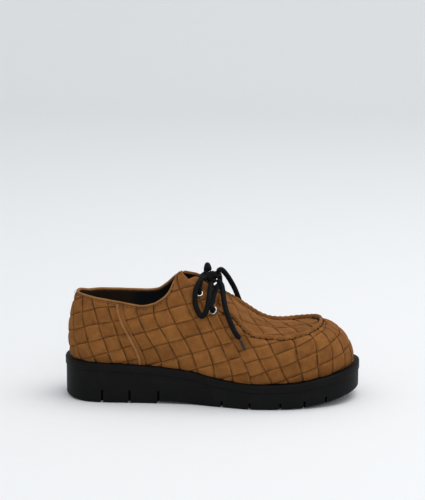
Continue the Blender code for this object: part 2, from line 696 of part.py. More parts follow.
def make_tongue(shoe, suede):
    """Make the tongue: a bowed sheet that starts under the apron and runs up under both facings."""
    wing = np.linspace(TONGUE_WING_LEVEL, 1.0, 4)
    crown = np.linspace(1.0, 2.0, 7)
    across = [(level, SIDES["lateral"]) for level in np.concatenate([wing, crown[1:]])]
    across += [(level, SIDES["medial"]) for level in np.concatenate([wing, crown[1:-1]])[::-1]]
    back = np.linspace(TONGUE_BACK_STATION, TONGUE_BACK_STATION + TONGUE_SLANT, len(across))
    sheets = []
    for depth in (WALL + 4 * GAP, WALL + 4 * GAP + TONGUE_THICKNESS):
        sheet = []
        for (level, side), start in zip(across, back):
            run = np.linspace(start, TONGUE_FRONT_STATION, 12)
            sheet.append(skin(run, level, side) - skin_normal(run, level, side) * depth)
        sheets.append(np.array(sheet))
    top, under = sheets
    rims = [np.stack([top[i], under[i]]) for i in (0, -1)]
    rims += [np.stack([top[:, i], under[:, i]]) for i in (0, -1)]
    finish(closed_mesh("tongue", [top, under] + rims), "tongue", shoe, suede)


def make_binding(shoe, suede):
    """Make the bead that finishes the collar's edge from corner to corner round the heel."""
    stations = upper_stations()
    run = stations[stations < CORNER_STATION]
    halves = [[part[order] for part in (skin(run, 1.0, side), skin_normal(run, 1.0, side))]
              for side, order in ((SIDES["lateral"], slice(None, 0, -1)), (SIDES["medial"], slice(None)))]
    edge, normal = (np.vstack(pair) for pair in zip(*halves))
    rise = np.cross(normal, np.gradient(edge, axis=0))
    rise /= np.linalg.norm(rise, axis=-1, keepdims=True) * np.sign(rise[len(rise) // 2, 2])
    path = edge + normal * (QUARTER_STEP - WALL / 2) + rise * (BINDING_HEIGHT / 2 + 2 * GAP)
    angles = np.linspace(0, 2 * math.pi, 9)[:-1]
    section = [(BINDING_WIDTH / 2 * math.cos(a), BINDING_HEIGHT / 2 * math.sin(a)) for a in angles]
    finish(sweep("collar_binding", path, normal, rise, section), "collar_binding", shoe, suede)


def make_piping(shoe, suede):
    """Make the two raised seams that slant down the heel, one a side."""
    levels = np.linspace(*PIPING_LEVELS, 14)
    for name, side in SIDES.items():
        lift = QUARTER_STEP + PIPING_RADIUS + GAP
        points = skin(PIPING_STATION, levels, side) + skin_normal(PIPING_STATION, levels, side) * lift
        tube(f"heel_piping_{name}", points, PIPING_RADIUS, shoe, suede)


def make_eyelets(shoe, metal):
    """Make the four eyelets, each a flange on the facing and a barrel through it."""
    hole, flange = EYELET_HOLE_RADIUS, EYELET_FLANGE_RADIUS
    barrel = hole + EYELET_BARREL_WALL
    profile = [(hole, EYELET_HEIGHT), (0.7 * flange + 0.3 * hole, EYELET_HEIGHT + GAP), (flange, 2 * GAP),
               (flange, GAP), (barrel, GAP), (barrel, -WALL), (hole, -WALL)]
    for kind in EYELETS:
        for name, side in SIDES.items():
            place, normal, _ = eyelet_seat(kind, side)
            turned(f"eyelet_{kind}_{name}", profile, 20, standing_frame(place, normal), shoe, metal)


def bar_half(kind, side):
    """Run of the lace out of one eyelet, over the facing's edge and up to the middle of the tongue."""
    place, normal, way = eyelet_seat(kind, side)
    top = EYELET_HEIGHT + GAP
    turns = np.linspace(0, math.pi / 2, 5)
    points = [place - normal * 0.5 * WALL]
    points += [place + normal * (top + LACE_BEND * math.sin(a)) + way * LACE_BEND * (1 - math.cos(a))
               for a in turns]
    station, inset = EYELETS[kind]
    edge_lift = QUARTER_STEP + LACE_RADIUS + 2 * GAP
    for left, share in ((0.45, 0.4), (0.15, 0.1)):
        level = level_at(station, side, left * inset)
        lift = edge_lift + share * (top + LACE_BEND - LACE_RADIUS)
        points.append(skin(station, level, side) + skin_normal(station, level, side) * lift)
    low_lift = LACE_RADIUS + 3 * GAP - WALL
    for w in (BAR_DROP_START, 0.35, 0.6, 0.8):
        ease = min(max((w - BAR_DROP_START) / BAR_DROP_LENGTH, 0), 1)
        lift = edge_lift + (low_lift - edge_lift) * ease * ease * (3 - 2 * ease)
        points.append(skin(station, 1 + w, side) + skin_normal(station, 1 + w, side) * lift)
    return points


def make_lace_bars(shoe, cord):
    """Make the two bars of lace that cross the tongue from eyelet to eyelet."""
    low_lift = LACE_RADIUS + 3 * GAP - WALL
    for kind, eyelet in EYELETS.items():
        middle = crest_line(np.array(eyelet.station)) + UP * low_lift
        points = bar_half(kind, SIDES["lateral"]) + [middle] + bar_half(kind, SIDES["medial"])[::-1]
        tube(f"lace_bar_{kind}", points, LACE_RADIUS, shoe, cord)


# Routes of the free lace: two loops and two ends that leave the knot, and the tips of the ends
KNOT_PLACE = (0.0000, -0.0020, 0.1215)
LACE_ROUTES = {
    "lace_loop_lateral": (
        (-0.0054, -0.0069, 0.1228), (-0.0102, -0.0158, 0.1218), (-0.0144, -0.0236, 0.1146),
        (-0.0152, -0.0298, 0.1045), (-0.0126, -0.0346, 0.0955), (-0.0078, -0.0372, 0.0900),
        (-0.0036, -0.0362, 0.0955), (-0.0016, -0.0322, 0.1045), (-0.0008, -0.0242, 0.1120),
        (-0.0006, -0.0160, 0.1153), (-0.0003, -0.0075, 0.1168)),
    "lace_loop_medial": (
        (-0.0022, 0.0014, 0.1275), (-0.0046, 0.0068, 0.1316), (-0.0060, 0.0156, 0.1292),
        (-0.0074, 0.0272, 0.1212), (-0.0062, 0.0362, 0.1078), (-0.0010, 0.0432, 0.0958),
        (0.0044, 0.0418, 0.0992), (0.0060, 0.0332, 0.1100), (0.0058, 0.0200, 0.1195),
        (0.0035, 0.0037, 0.1242)),
    "lace_end_lateral": (
        (0.0059, -0.0059, 0.1201), (0.0102, -0.0116, 0.1155), (0.0121, -0.0192, 0.1085),
        (0.0139, -0.0285, 0.1010), (0.0182, -0.0395, 0.0900), (0.0244, -0.0465, 0.0780),
        (0.0300, -0.0492, 0.0705)),
    "lace_end_medial": (
        (0.0050, -0.0001, 0.1267), (0.0092, 0.0034, 0.1282), (0.0142, 0.0117, 0.1206),
        (0.0180, 0.0207, 0.1118), (0.0214, 0.0305, 0.1022), (0.0246, 0.0418, 0.0900),
        (0.0284, 0.0488, 0.0775), (0.0320, 0.0530, 0.0660)),
}
TIP_ROUTES = {
    "lace_tip_lateral": ((0.0302, -0.0493, 0.0701), (0.0326, -0.0505, 0.0650), (0.0350, -0.0514, 0.0598)),
    "lace_tip_medial": ((0.0322, 0.0531, 0.0656), (0.0338, 0.0541, 0.0604), (0.0352, 0.0547, 0.0552)),
}


def make_free_lace(shoe, cord, tip):
    """Make the knot, its two loops and two ends, and the tips on the ends."""
    shape = bmesh.new()
    bmesh.ops.create_icosphere(shape, subdivisions=2, radius=KNOT_RADIUS)
    bmesh.ops.translate(shape, verts=shape.verts, vec=KNOT_PLACE)
    mesh = bpy.data.meshes.new("lace_knot")
    shape.to_mesh(mesh)
    shape.free()
    finish(mesh, "lace_knot", shoe, cord)
    for name, route in LACE_ROUTES.items():
        tube(name, smooth_route(route, 3 * LACE_RADIUS), LACE_RADIUS, shoe, cord)
    for name, route in TIP_ROUTES.items():
        tube(name, smooth_route(route, 3 * LACE_RADIUS), TIP_RADIUS, shoe, tip)


def main():
    """Build the shoe in a cleared scene."""
    for thing in list(bpy.data.objects):
        bpy.data.objects.remove(thing)
    shoe = bpy.data.collections.new("lace_up_shoe")
    cutters = bpy.data.collections.new("cutters")
    for group in (shoe, cutters):
        bpy.context.scene.collection.children.link(group)

    rubber = material("black_rubber", (0.015, 0.015, 0.016), 0.62)
    suede = material("brown_suede", (0.27, 0.125, 0.035), 0.92)
    lining = material("dark_lining", (0.03, 0.02, 0.015), 0.70)
    cord = material("black_cord", (0.008, 0.008, 0.009), 0.85)
    tip = material("dark_tip", (0.03, 0.03, 0.03), 0.20)
    metal = material("pale_metal", (0.75, 0.74, 0.72), 0.25, 1.0)

    make_sole(shoe, cutters, rubber, lining)
    make_upper(shoe, cutters, suede)
    make_tongue(shoe, suede)
    make_binding(shoe, suede)
    make_piping(shoe, suede)
    make_eyelets(shoe, metal)
    make_lace_bars(shoe, cord)
    make_free_lace(shoe, cord, tip)


main()
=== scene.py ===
"""Looks of a woven suede lace-up shoe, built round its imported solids.

Right foot, empty, standing on its sole. +X runs to the toe, +Y to the inner (medial) side and +Z up. The
origin is on the floor under the middle of the sole, and lengths are in metres.

A point of the upper has a station, from 0 at the back of the heel to 1 at the tip of the toe, a level, 0 at
the sole, 1 at the edge of collar, facing or toe seam and 2 on the middle line of the instep, and a side, -1
lateral or 1 medial.
"""

import json
import logging
import math
from dataclasses import dataclass
from enum import Enum
from typing import NamedTuple

import bmesh
import bpy
import numpy as np
from mathutils import Matrix, Vector

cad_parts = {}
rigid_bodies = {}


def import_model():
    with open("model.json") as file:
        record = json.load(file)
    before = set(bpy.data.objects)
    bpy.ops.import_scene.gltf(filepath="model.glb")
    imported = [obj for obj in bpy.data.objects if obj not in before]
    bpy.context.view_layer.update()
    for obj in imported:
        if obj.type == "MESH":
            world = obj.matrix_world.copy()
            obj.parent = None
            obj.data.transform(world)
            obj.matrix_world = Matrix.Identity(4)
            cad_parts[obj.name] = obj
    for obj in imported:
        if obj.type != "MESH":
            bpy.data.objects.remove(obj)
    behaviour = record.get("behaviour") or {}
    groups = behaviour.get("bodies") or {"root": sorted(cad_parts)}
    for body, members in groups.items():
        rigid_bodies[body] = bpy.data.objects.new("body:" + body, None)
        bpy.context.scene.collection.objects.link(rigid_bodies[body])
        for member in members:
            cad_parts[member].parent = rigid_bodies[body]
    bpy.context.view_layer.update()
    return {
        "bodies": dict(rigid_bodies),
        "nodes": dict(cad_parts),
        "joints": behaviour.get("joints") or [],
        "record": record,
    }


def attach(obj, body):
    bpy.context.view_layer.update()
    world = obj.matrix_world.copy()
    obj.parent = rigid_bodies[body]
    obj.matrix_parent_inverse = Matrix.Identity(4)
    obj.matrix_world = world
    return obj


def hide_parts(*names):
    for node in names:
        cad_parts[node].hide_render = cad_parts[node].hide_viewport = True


LOG = logging.getLogger("shoe")

# Sole, as in the part
SOLE_LENGTH = 0.2952
HEEL_WIDTH = 0.0780
WAIST_WIDTH = 0.0760
BALL_WIDTH = 0.1085
HEEL_STACK = 0.0400
BALL_STACK = 0.0250
TOE_SPRING = 0.0115
BAND_THICKNESS = 0.0078
BAND_STEP = 0.0008
TREAD_DEPTH = 0.0040
TREAD_BORDER = 0.0130
WAIST_LIFT = 0.0032
SLOT_WIDTH = 0.0021
SLOT_REACH = 0.0090
HEEL_SLOT_HEIGHT = 0.0130
TOE_SLOT_HEIGHT = 0.0065
LUG_LENGTH = 0.0160
LUG_WIDTH = 0.0260
LUG_SPREAD = 0.0161
LUG_TURN = math.radians(12)

# Upper, as in the part
LEDGE = 0.0060
WALL = 0.0022
QUARTER_STEP = 0.0011
COLLAR_RISE = 0.0620
INSTEP_RISE = 0.0980
TOE_RISE = 0.0388
BACK_BULGE = 0.0080
SIDE_BULGE = 0.0060
TOE_BULGE = 0.0170
SEAM_HEIGHT = 0.0044
SEAM_WIDTH = 0.0032
BINDING_WIDTH = 0.0032
BINDING_HEIGHT = 0.0022
PIPING_RADIUS = 0.0011
TONGUE_THICKNESS = 0.0024
EYELET_HOLE_RADIUS = 0.0026
EYELET_FLANGE_RADIUS = 0.0043
EYELET_BARREL_WALL = 0.0005
EYELET_HEIGHT = 0.0008
LACE_RADIUS = 0.0021
LACE_BEND = 0.0032
TIP_RADIUS = 0.0013
GAP = 0.0003

HEEL_ROUND = 0.14
TOE_ROUND = 0.27
HEEL_SQUARE = 2.2
TOE_SQUARE = 2.35
PIPING_STATION = 0.254
CORNER_STATION = 0.515
QUARTER_STATION = 0.645
APRON_STATION = 0.650
TONGUE_BACK_STATION = 0.545
TONGUE_FRONT_STATION = 0.690

LATERAL = -1
MEDIAL = 1
SIDES = {"lateral": LATERAL, "medial": MEDIAL}
UP = np.array([0.0, 0.0, 1.0])


class SoleRow(NamedTuple):
    """Plan and heights of the sole at one share of its length."""

    along: float
    width: float
    centre: float
    top: float
    bottom: float


SOLE_ROWS = (
    SoleRow(0.00, 1.000 * HEEL_WIDTH, 0.000, 1.020 * HEEL_STACK, 0.25 * TOE_SPRING),
    SoleRow(0.06, 1.000 * HEEL_WIDTH, 0.000, 1.010 * HEEL_STACK, 0.03 * TOE_SPRING),
    SoleRow(0.10, 1.000 * HEEL_WIDTH, 0.000, 1.005 * HEEL_STACK, 0.00 * TOE_SPRING),
    SoleRow(0.18, 1.000 * HEEL_WIDTH, -0.003 * BALL_WIDTH, 0.990 * HEEL_STACK, 0.00 * TOE_SPRING),
    SoleRow(0.30, 1.000 * WAIST_WIDTH, -0.015 * BALL_WIDTH, 0.945 * HEEL_STACK, 0.00 * TOE_SPRING),
    SoleRow(0.42, 1.010 * WAIST_WIDTH, -0.030 * BALL_WIDTH, 0.850 * HEEL_STACK, 0.00 * TOE_SPRING),
    SoleRow(0.54, 0.840 * BALL_WIDTH, -0.040 * BALL_WIDTH, 1.100 * BALL_STACK, 0.00 * TOE_SPRING),
    SoleRow(0.66, 0.985 * BALL_WIDTH, -0.036 * BALL_WIDTH, 0.990 * BALL_STACK, 0.00 * TOE_SPRING),
    SoleRow(0.76, 1.000 * BALL_WIDTH, -0.014 * BALL_WIDTH, 1.020 * BALL_STACK, 0.04 * TOE_SPRING),
    SoleRow(0.88, 1.000 * BALL_WIDTH, 0.030 * BALL_WIDTH, 1.000 * BALL_STACK + 0.42 * TOE_SPRING,
            0.34 * TOE_SPRING),
    SoleRow(1.00, 1.000 * BALL_WIDTH, 0.065 * BALL_WIDTH, 1.000 * BALL_STACK + 1.03 * TOE_SPRING,
            1.00 * TOE_SPRING),
)


class EdgeRow(NamedTuple):
    """The edge of collar, facing and toe seam: along, out from the middle and up from the sole."""

    station: float
    lateral_along: float
    lateral_out: float
    lateral_rise: float
    medial_along: float
    medial_out: float
    medial_rise: float


def edge_row(station: float, lateral: tuple, medial: tuple, rise: float) -> EdgeRow:
    """Turn shares of the sole's length and ball width and of one rise into lengths.

    Args:
        station: Place along the foot.
        lateral: Shares (along, out, up) on the lateral side.
        medial: Shares (along, out, up) on the medial side.
        rise: Length that the shares up are of.

    Returns:
        The row in metres.
    """
    scale = (SOLE_LENGTH, BALL_WIDTH, rise)
    return EdgeRow(station, *(a * b for a, b in zip(lateral, scale)), *(a * b for a, b in zip(medial, scale)))


EDGE_ROWS = (
    edge_row(0.000, (-0.459, 0.230, 1.015), (-0.459, 0.230, 1.015), COLLAR_RISE),
    edge_row(0.042, (-0.425, 0.230, 1.010), (-0.425, 0.230, 0.965), COLLAR_RISE),
    edge_row(0.160, (-0.367, 0.260, 0.995), (-0.367, 0.260, 0.960), COLLAR_RISE),
    edge_row(0.254, (-0.312, 0.290, 0.983), (-0.312, 0.288, 0.965), COLLAR_RISE),
    edge_row(0.340, (-0.236, 0.300, 0.955), (-0.236, 0.295, 0.985), COLLAR_RISE),
    edge_row(0.392, (-0.192, 0.287, 1.010), (-0.192, 0.285, 1.035), COLLAR_RISE),
    edge_row(0.440, (-0.157, 0.250, 1.125), (-0.157, 0.250, 1.180), COLLAR_RISE),
    edge_row(0.475, (-0.135, 0.208, 0.800), (-0.130, 0.205, 0.850), INSTEP_RISE),
    edge_row(0.500, (-0.121, 0.157, 0.910), (-0.113, 0.160, 0.910), INSTEP_RISE),
    edge_row(0.530, (-0.106, 0.106, 1.015), (-0.090, 0.120, 0.965), INSTEP_RISE),
    edge_row(0.555, (-0.078, 0.115, 0.945), (-0.059, 0.105, 0.960), INSTEP_RISE),
    edge_row(0.598, (-0.026, 0.124, 0.850), (-0.018, 0.130, 0.895), INSTEP_RISE),
    edge_row(0.620, (-0.004, 0.160, 0.795), (0.005, 0.157, 0.830), INSTEP_RISE),
    edge_row(0.645, (0.022, 0.240, 0.712), (0.028, 0.210, 0.752), INSTEP_RISE),
    edge_row(0.690, (0.078, 0.304, 0.627), (0.078, 0.276, 0.645), INSTEP_RISE),
    edge_row(0.721, (0.112, 0.360, 1.310), (0.112, 0.313, 1.430), TOE_RISE),
    edge_row(0.763, (0.154, 0.387, 1.134), (0.154, 0.341, 1.200), TOE_RISE),
    edge_row(0.809, (0.202, 0.390, 1.072), (0.202, 0.352, 1.055), TOE_RISE),
    edge_row(0.859, (0.254, 0.387, 1.000), (0.254, 0.365, 1.005), TOE_RISE),
    edge_row(0.905, (0.299, 0.375, 1.000), (0.299, 0.375, 1.000), TOE_RISE),
    edge_row(0.950, (0.337, 0.355, 1.000), (0.337, 0.375, 0.995), TOE_RISE),
    edge_row(1.000, (0.369, 0.345, 1.000), (0.369, 0.345, 1.000), TOE_RISE),
)


class WallRow(NamedTuple):
    """Handles that bow the wall between sole and edge: each goes out by a length and up by a share."""

    station: float
    low_out: float
    low_up: float
    high_out: float
    high_up: float


WALL_ROWS = (
    WallRow(0.00, 0.50 * BACK_BULGE, 0.35, 1.00 * BACK_BULGE, -0.38),
    WallRow(0.20, 1.00 * SIDE_BULGE, 0.32, 1.30 * SIDE_BULGE, -0.36),
    WallRow(0.34, 0.85 * SIDE_BULGE, 0.32, 1.00 * SIDE_BULGE, -0.34),
    WallRow(0.50, 0.50 * SIDE_BULGE, 0.34, 0.85 * TOE_BULGE, -0.16),
    WallRow(0.62, 0.55 * SIDE_BULGE, 0.34, 1.00 * TOE_BULGE, -0.12),
    WallRow(0.72, 0.70 * SIDE_BULGE, 0.36, 0.75 * TOE_BULGE, -0.05),
    WallRow(0.86, 0.70 * SIDE_BULGE, 0.40, 0.90 * TOE_BULGE, 0.03),
    WallRow(1.00, 0.35 * SIDE_BULGE, 0.42, 1.05 * TOE_BULGE, 0.04),
)


class CrestRow(NamedTuple):
    """The middle line of instep and toe: along, across and up from the sole."""

    station: float
    along: float
    across: float
    rise: float


CREST_ROWS = (
    CrestRow(0.500, -0.112 * SOLE_LENGTH, 0.000 * BALL_WIDTH, 1.020 * INSTEP_RISE),
    CrestRow(0.530, -0.090 * SOLE_LENGTH, 0.010 * BALL_WIDTH, 1.020 * INSTEP_RISE),
    CrestRow(0.555, -0.060 * SOLE_LENGTH, 0.015 * BALL_WIDTH, 1.000 * INSTEP_RISE),
    CrestRow(0.598, -0.020 * SOLE_LENGTH, 0.020 * BALL_WIDTH, 0.935 * INSTEP_RISE),
    CrestRow(0.620, 0.006 * SOLE_LENGTH, 0.020 * BALL_WIDTH, 0.880 * INSTEP_RISE),
    CrestRow(0.645, 0.034 * SOLE_LENGTH, 0.010 * BALL_WIDTH, 0.815 * INSTEP_RISE),
    CrestRow(0.690, 0.075 * SOLE_LENGTH, 0.000 * BALL_WIDTH, 0.725 * INSTEP_RISE),
    CrestRow(0.721, 0.106 * SOLE_LENGTH, -0.010 * BALL_WIDTH, 1.600 * TOE_RISE),
    CrestRow(0.763, 0.144 * SOLE_LENGTH, -0.010 * BALL_WIDTH, 1.380 * TOE_RISE),
    CrestRow(0.809, 0.184 * SOLE_LENGTH, -0.010 * BALL_WIDTH, 1.230 * TOE_RISE),
    CrestRow(0.859, 0.228 * SOLE_LENGTH, 0.000 * BALL_WIDTH, 1.120 * TOE_RISE),
    CrestRow(0.905, 0.262 * SOLE_LENGTH, 0.010 * BALL_WIDTH, 1.060 * TOE_RISE),
    CrestRow(0.950, 0.287 * SOLE_LENGTH, 0.020 * BALL_WIDTH, 1.000 * TOE_RISE),
    CrestRow(1.000, 0.306 * SOLE_LENGTH, 0.030 * BALL_WIDTH, 0.950 * TOE_RISE),
)


class Eyelet(NamedTuple):
    """Where an eyelet sits on the facing: its station and how far it lies below the facing's edge."""

    station: float
    inset: float


# Edge slots, breast and arch as shares of the sole's length, and the lugs inside the border of the tread
BREAST = 0.3250
ARCH_END = 0.4900
HEEL_SLOTS = (0.1340, 0.2275, BREAST)
TOE_SLOTS = (0.5410, 0.6360, 0.7386, 0.8194, 0.8910)
HEEL_LUGS = (0.135, 0.230)
TOE_LUGS = (0.575, 0.655, 0.735, 0.815, 0.890)

EYELETS = {"upper": Eyelet(0.583, 0.0082), "lower": Eyelet(0.628, 0.0125)}

# Routes of the free lace, as in the part: two loops and two ends that leave the knot, and the ends' tips
KNOT_PLACE = (0.0000, -0.0020, 0.1215)
LACE_ROUTES = {
    "lace_loop_lateral": (
        (-0.0054, -0.0069, 0.1228), (-0.0102, -0.0158, 0.1218), (-0.0144, -0.0236, 0.1146),
        (-0.0152, -0.0298, 0.1045), (-0.0126, -0.0346, 0.0955), (-0.0078, -0.0372, 0.0900),
        (-0.0036, -0.0362, 0.0955), (-0.0016, -0.0322, 0.1045), (-0.0008, -0.0242, 0.1120),
        (-0.0006, -0.0160, 0.1153), (-0.0003, -0.0075, 0.1168)),
    "lace_loop_medial": (
        (-0.0022, 0.0014, 0.1275), (-0.0046, 0.0068, 0.1316), (-0.0060, 0.0156, 0.1292),
        (-0.0074, 0.0272, 0.1212), (-0.0062, 0.0362, 0.1078), (-0.0010, 0.0432, 0.0958),
        (0.0044, 0.0418, 0.0992), (0.0060, 0.0332, 0.1100), (0.0058, 0.0200, 0.1195),
        (0.0035, 0.0037, 0.1242)),
    "lace_end_lateral": (
        (0.0059, -0.0059, 0.1201), (0.0102, -0.0116, 0.1155), (0.0121, -0.0192, 0.1085),
        (0.0139, -0.0285, 0.1010), (0.0182, -0.0395, 0.0900), (0.0244, -0.0465, 0.0780),
        (0.0300, -0.0492, 0.0705)),
    "lace_end_medial": (
        (0.0050, -0.0001, 0.1267), (0.0092, 0.0034, 0.1282), (0.0142, 0.0117, 0.1206),
        (0.0180, 0.0207, 0.1118), (0.0214, 0.0305, 0.1022), (0.0246, 0.0418, 0.0900),
        (0.0284, 0.0488, 0.0775), (0.0320, 0.0530, 0.0660)),
}
TIP_ROUTES = {
    "lateral": ((0.0302, -0.0493, 0.0701), (0.0326, -0.0505, 0.0650), (0.0350, -0.0514, 0.0598)),
    "medial": ((0.0322, 0.0531, 0.0656), (0.0338, 0.0541, 0.0604), (0.0352, 0.0547, 0.0552)),
}


def read(rows: tuple, column: str, at: np.ndarray) -> np.ndarray:
    """Read a column of a table at any place, on a smooth curve that never overshoots its rows.

    Args:
        rows: Table whose first column is the place.
        column: Name of the column to read.
        at: Places to read it at.

    Returns:
        The values: cubic spans with the harmonic mean of the slopes on both sides at each row.
    """
    place = np.array([row[0] for row in rows])
    value = np.array([getattr(row, column) for row in rows])
    at = np.clip(np.asarray(at, float), place[0], place[-1])
    step = np.diff(place)
    slope = np.diff(value) / step
    tangent = np.empty_like(value)
    tangent[0], tangent[-1] = slope[0], slope[-1]
    product = slope[:-1] * slope[1:]
    total = slope[:-1] + slope[1:]
    tangent[1:-1] = np.where(product > 0, 2 * product / np.where(total == 0, 1, total), 0)
    i = np.clip(np.searchsorted(place, at) - 1, 0, len(place) - 2)
    t = (at - place[i]) / step[i]
    start = (2 * t**3 - 3 * t**2 + 1) * value[i] + (t**3 - 2 * t**2 + t) * step[i] * tangent[i]
    end = (3 * t**2 - 2 * t**3) * value[i + 1] + (t**3 - t**2) * step[i] * tangent[i + 1]
    return start + end


def roundness(at: np.ndarray, heel: float = HEEL_ROUND, toe: float = TOE_ROUND) -> np.ndarray:
    """Share of the half width that is left as the outline closes round the heel and the toe.

    Args:
        at: Stations.
        heel: Length of the heel's round end.
        toe: Length of the toe's round end.

    Returns:
        One between the ends, falling to zero on a rounded square at both.
    """
    back = np.clip((heel - np.asarray(at, float)) / heel, 0, 1)
    front = np.clip((np.asarray(at, float) - 1 + toe) / toe, 0, 1)
    return (1 - back**HEEL_SQUARE) ** (1 / HEEL_SQUARE) * (1 - front**TOE_SQUARE) ** (1 / TOE_SQUARE)


def drawn_edge(at: np.ndarray, side: int, inset: float) -> tuple[np.ndarray, np.ndarray]:
    """Plan of the sole's edge about the line from heel to toe, drawn in by an inset.

    Args:
        at: Shares of the sole's length.
        side: Lateral or medial.
        inset: Distance in from the edge.

    Returns:
        x and y, with y not yet centred on the origin.
    """
    half = (read(SOLE_ROWS, "width", at) / 2 - inset) * roundness(at)
    x = inset - SOLE_LENGTH / 2 + (SOLE_LENGTH - 2 * inset) * np.asarray(at, float)
    return x, read(SOLE_ROWS, "centre", at) + side * half


def middle_shift() -> float:
    """How far the plan moves sideways to lie centred on the origin."""
    at = np.linspace(0, 1, 201)
    return -(drawn_edge(at, LATERAL, 0.0)[1].min() + drawn_edge(at, MEDIAL, 0.0)[1].max()) / 2


SHIFT = middle_shift()


def sole_edge(at: np.ndarray, side: int, inset: float = 0.0) -> tuple[np.ndarray, np.ndarray]:
    """Plan of the sole's edge centred on the origin.

    Args:
        at: Shares of the sole's length.
        side: Lateral or medial.
        inset: Distance in from the edge.

    Returns:
        x and y.
    """
    x, y = drawn_edge(at, side, inset)
    return x, y + SHIFT


def sole_height(column: str, x: np.ndarray) -> np.ndarray:
    """Height of the sole's top or bottom above the floor at x."""
    return read(SOLE_ROWS, column, np.asarray(x) / SOLE_LENGTH + 0.5)


def foot_line(station: np.ndarray, side: int) -> np.ndarray:
    """Points where the upper meets the sole."""
    x, y = sole_edge(station, side, LEDGE)
    return np.stack([x, y, sole_height("top", x) + 2 * GAP], -1)


def outward(station: np.ndarray, side: int) -> np.ndarray:
    """Level direction out of the sole's outline, from neighbouring points of it.

    Args:
        station: Stations.
        side: Lateral or medial.

    Returns:
        Unit directions.
    """
    step = 1e-3
    before = foot_line(np.clip(station - step, 0, 1), side)
    after = foot_line(np.clip(station + step, 0, 1), side)
    x = (after - before)[..., 1] * -side
    y = (after - before)[..., 0] * side
    back, front = station <= step, station >= 1 - step
    x = np.where(back, -1.0, np.where(front, 1.0, x))
    y = np.where(back | front, 0.0, y)
    return np.stack([x, y, 0 * x], -1) / np.hypot(x, y)[..., None]


def edge_line(station: np.ndarray, side: int) -> np.ndarray:
    """Edge of the collar, then of the facing, then the line of the toe seam.

    Args:
        station: Stations.
        side: Lateral or medial.

    Returns:
        Points of the edge.
    """
    name = "lateral" if side < 0 else "medial"
    toe_turn = 0.6 * SOLE_ROWS[-1].centre * np.clip((station - 0.8) / 0.2, 0, 1) ** 2
    out = read(EDGE_ROWS, name + "_out", station) * roundness(station, HEEL_ROUND, 0.20)
    height = foot_line(station, side)[..., 2] + read(EDGE_ROWS, name + "_rise", station)
    return np.stack([read(EDGE_ROWS, name + "_along", station), side * out + toe_turn + SHIFT, height], -1)


def crest_line(station: np.ndarray) -> np.ndarray:
    """Points of the middle line of instep and toe."""
    base = foot_line(station, MEDIAL)[..., 2]
    return np.stack([read(CREST_ROWS, "along", station), read(CREST_ROWS, "across", station) + SHIFT,
                     base + read(CREST_ROWS, "rise", station)], -1)


def skin(station: np.ndarray, level: np.ndarray, side: int) -> np.ndarray:
    """Outer surface of the last: a cubic wall up to level 1, then a crown that flattens to level 2.

    Args:
        station: Stations.
        level: Levels.
        side: Lateral or medial.

    Returns:
        Points of the skin.
    """
    station, level = np.broadcast_arrays(np.asarray(station, float), np.asarray(level, float))
    low, high = foot_line(station, side), edge_line(station, side)
    out = outward(station, side)
    rise = (high - low)[..., 2]
    handles = [base + out * read(WALL_ROWS, name + "_out", station)[..., None]
               + UP * (read(WALL_ROWS, name + "_up", station) * rise)[..., None]
               for base, name in ((low, "low"), (high, "high"))]
    v = np.clip(level, 0, 1)[..., None]
    wall = ((1 - v) ** 3 * low + 3 * (1 - v) ** 2 * v * handles[0]
            + 3 * (1 - v) * v**2 * handles[1] + v**3 * high)
    w = np.clip(level - 1, 0, 1)[..., None]
    reach = crest_line(station) - high
    crown = reach * w
    crown[..., 2] = reach[..., 2] * (1 - (1 - w[..., 0]) ** 2)
    return wall + crown


def skin_normal(station: np.ndarray, level: np.ndarray, side: int) -> np.ndarray:
    """Unit direction out of the skin, from neighbouring points.

    Args:
        station: Stations.
        level: Levels.
        side: Lateral or medial.

    Returns:
        Unit directions.
    """
    step = 1e-4
    station, level = np.broadcast_arrays(np.asarray(station, float), np.asarray(level, float))
    along = (skin(np.clip(station + step, 0, 1), level, side)
             - skin(np.clip(station - step, 0, 1), level, side))
    up = skin(station, np.clip(level + step, 0, 2), side) - skin(station, np.clip(level - step, 0, 2), side)
    across = np.cross(along, up) * -side
    return across / np.linalg.norm(across, axis=-1, keepdims=True)


def level_at(station: float, side: int, inset: float) -> float:
    """Level of the point that lies an inset below the edge, measured along the skin."""
    level = np.linspace(0.4, 1.0, 61)
    points = skin(station, level, side)
    length = np.concatenate([[0], np.cumsum(np.linalg.norm(np.diff(points, axis=0), axis=1))])
    return float(np.interp(length[-1] - inset, length, level))


def eyelet_seat(kind: str, side: int) -> tuple[np.ndarray, np.ndarray, np.ndarray]:
    """Plane of an eyelet, clear of the skin under its flange.

    Args:
        kind: Upper or lower eyelet.
        side: Lateral or medial.

    Returns:
        Its place, its outward normal and the way to the facing's edge.
    """
    station, inset = EYELETS[kind]
    level = level_at(station, side, inset)
    middle = skin(station, level, side)
    way = skin(station, level + 0.01, side) - middle
    along = skin(station + 0.01, level, side) - middle
    up_step = 0.01 * EYELET_FLANGE_RADIUS / np.linalg.norm(way)
    along_step = 0.01 * EYELET_FLANGE_RADIUS / np.linalg.norm(along)
    angles = np.linspace(0, 2 * math.pi, 17)[:-1]
    rim = skin(station + along_step * np.cos(angles), level + up_step * np.sin(angles), side)
    normal = np.cross(rim[0] - rim[8], rim[4] - rim[12]) * -side
    normal /= np.linalg.norm(normal)
    highest = max(0.0, float(np.max((rim - middle) @ normal)))
    place = middle + normal * (QUARTER_STEP + highest + 2 * GAP)
    way -= normal * np.dot(way, normal)
    return place, normal, way / np.linalg.norm(way)


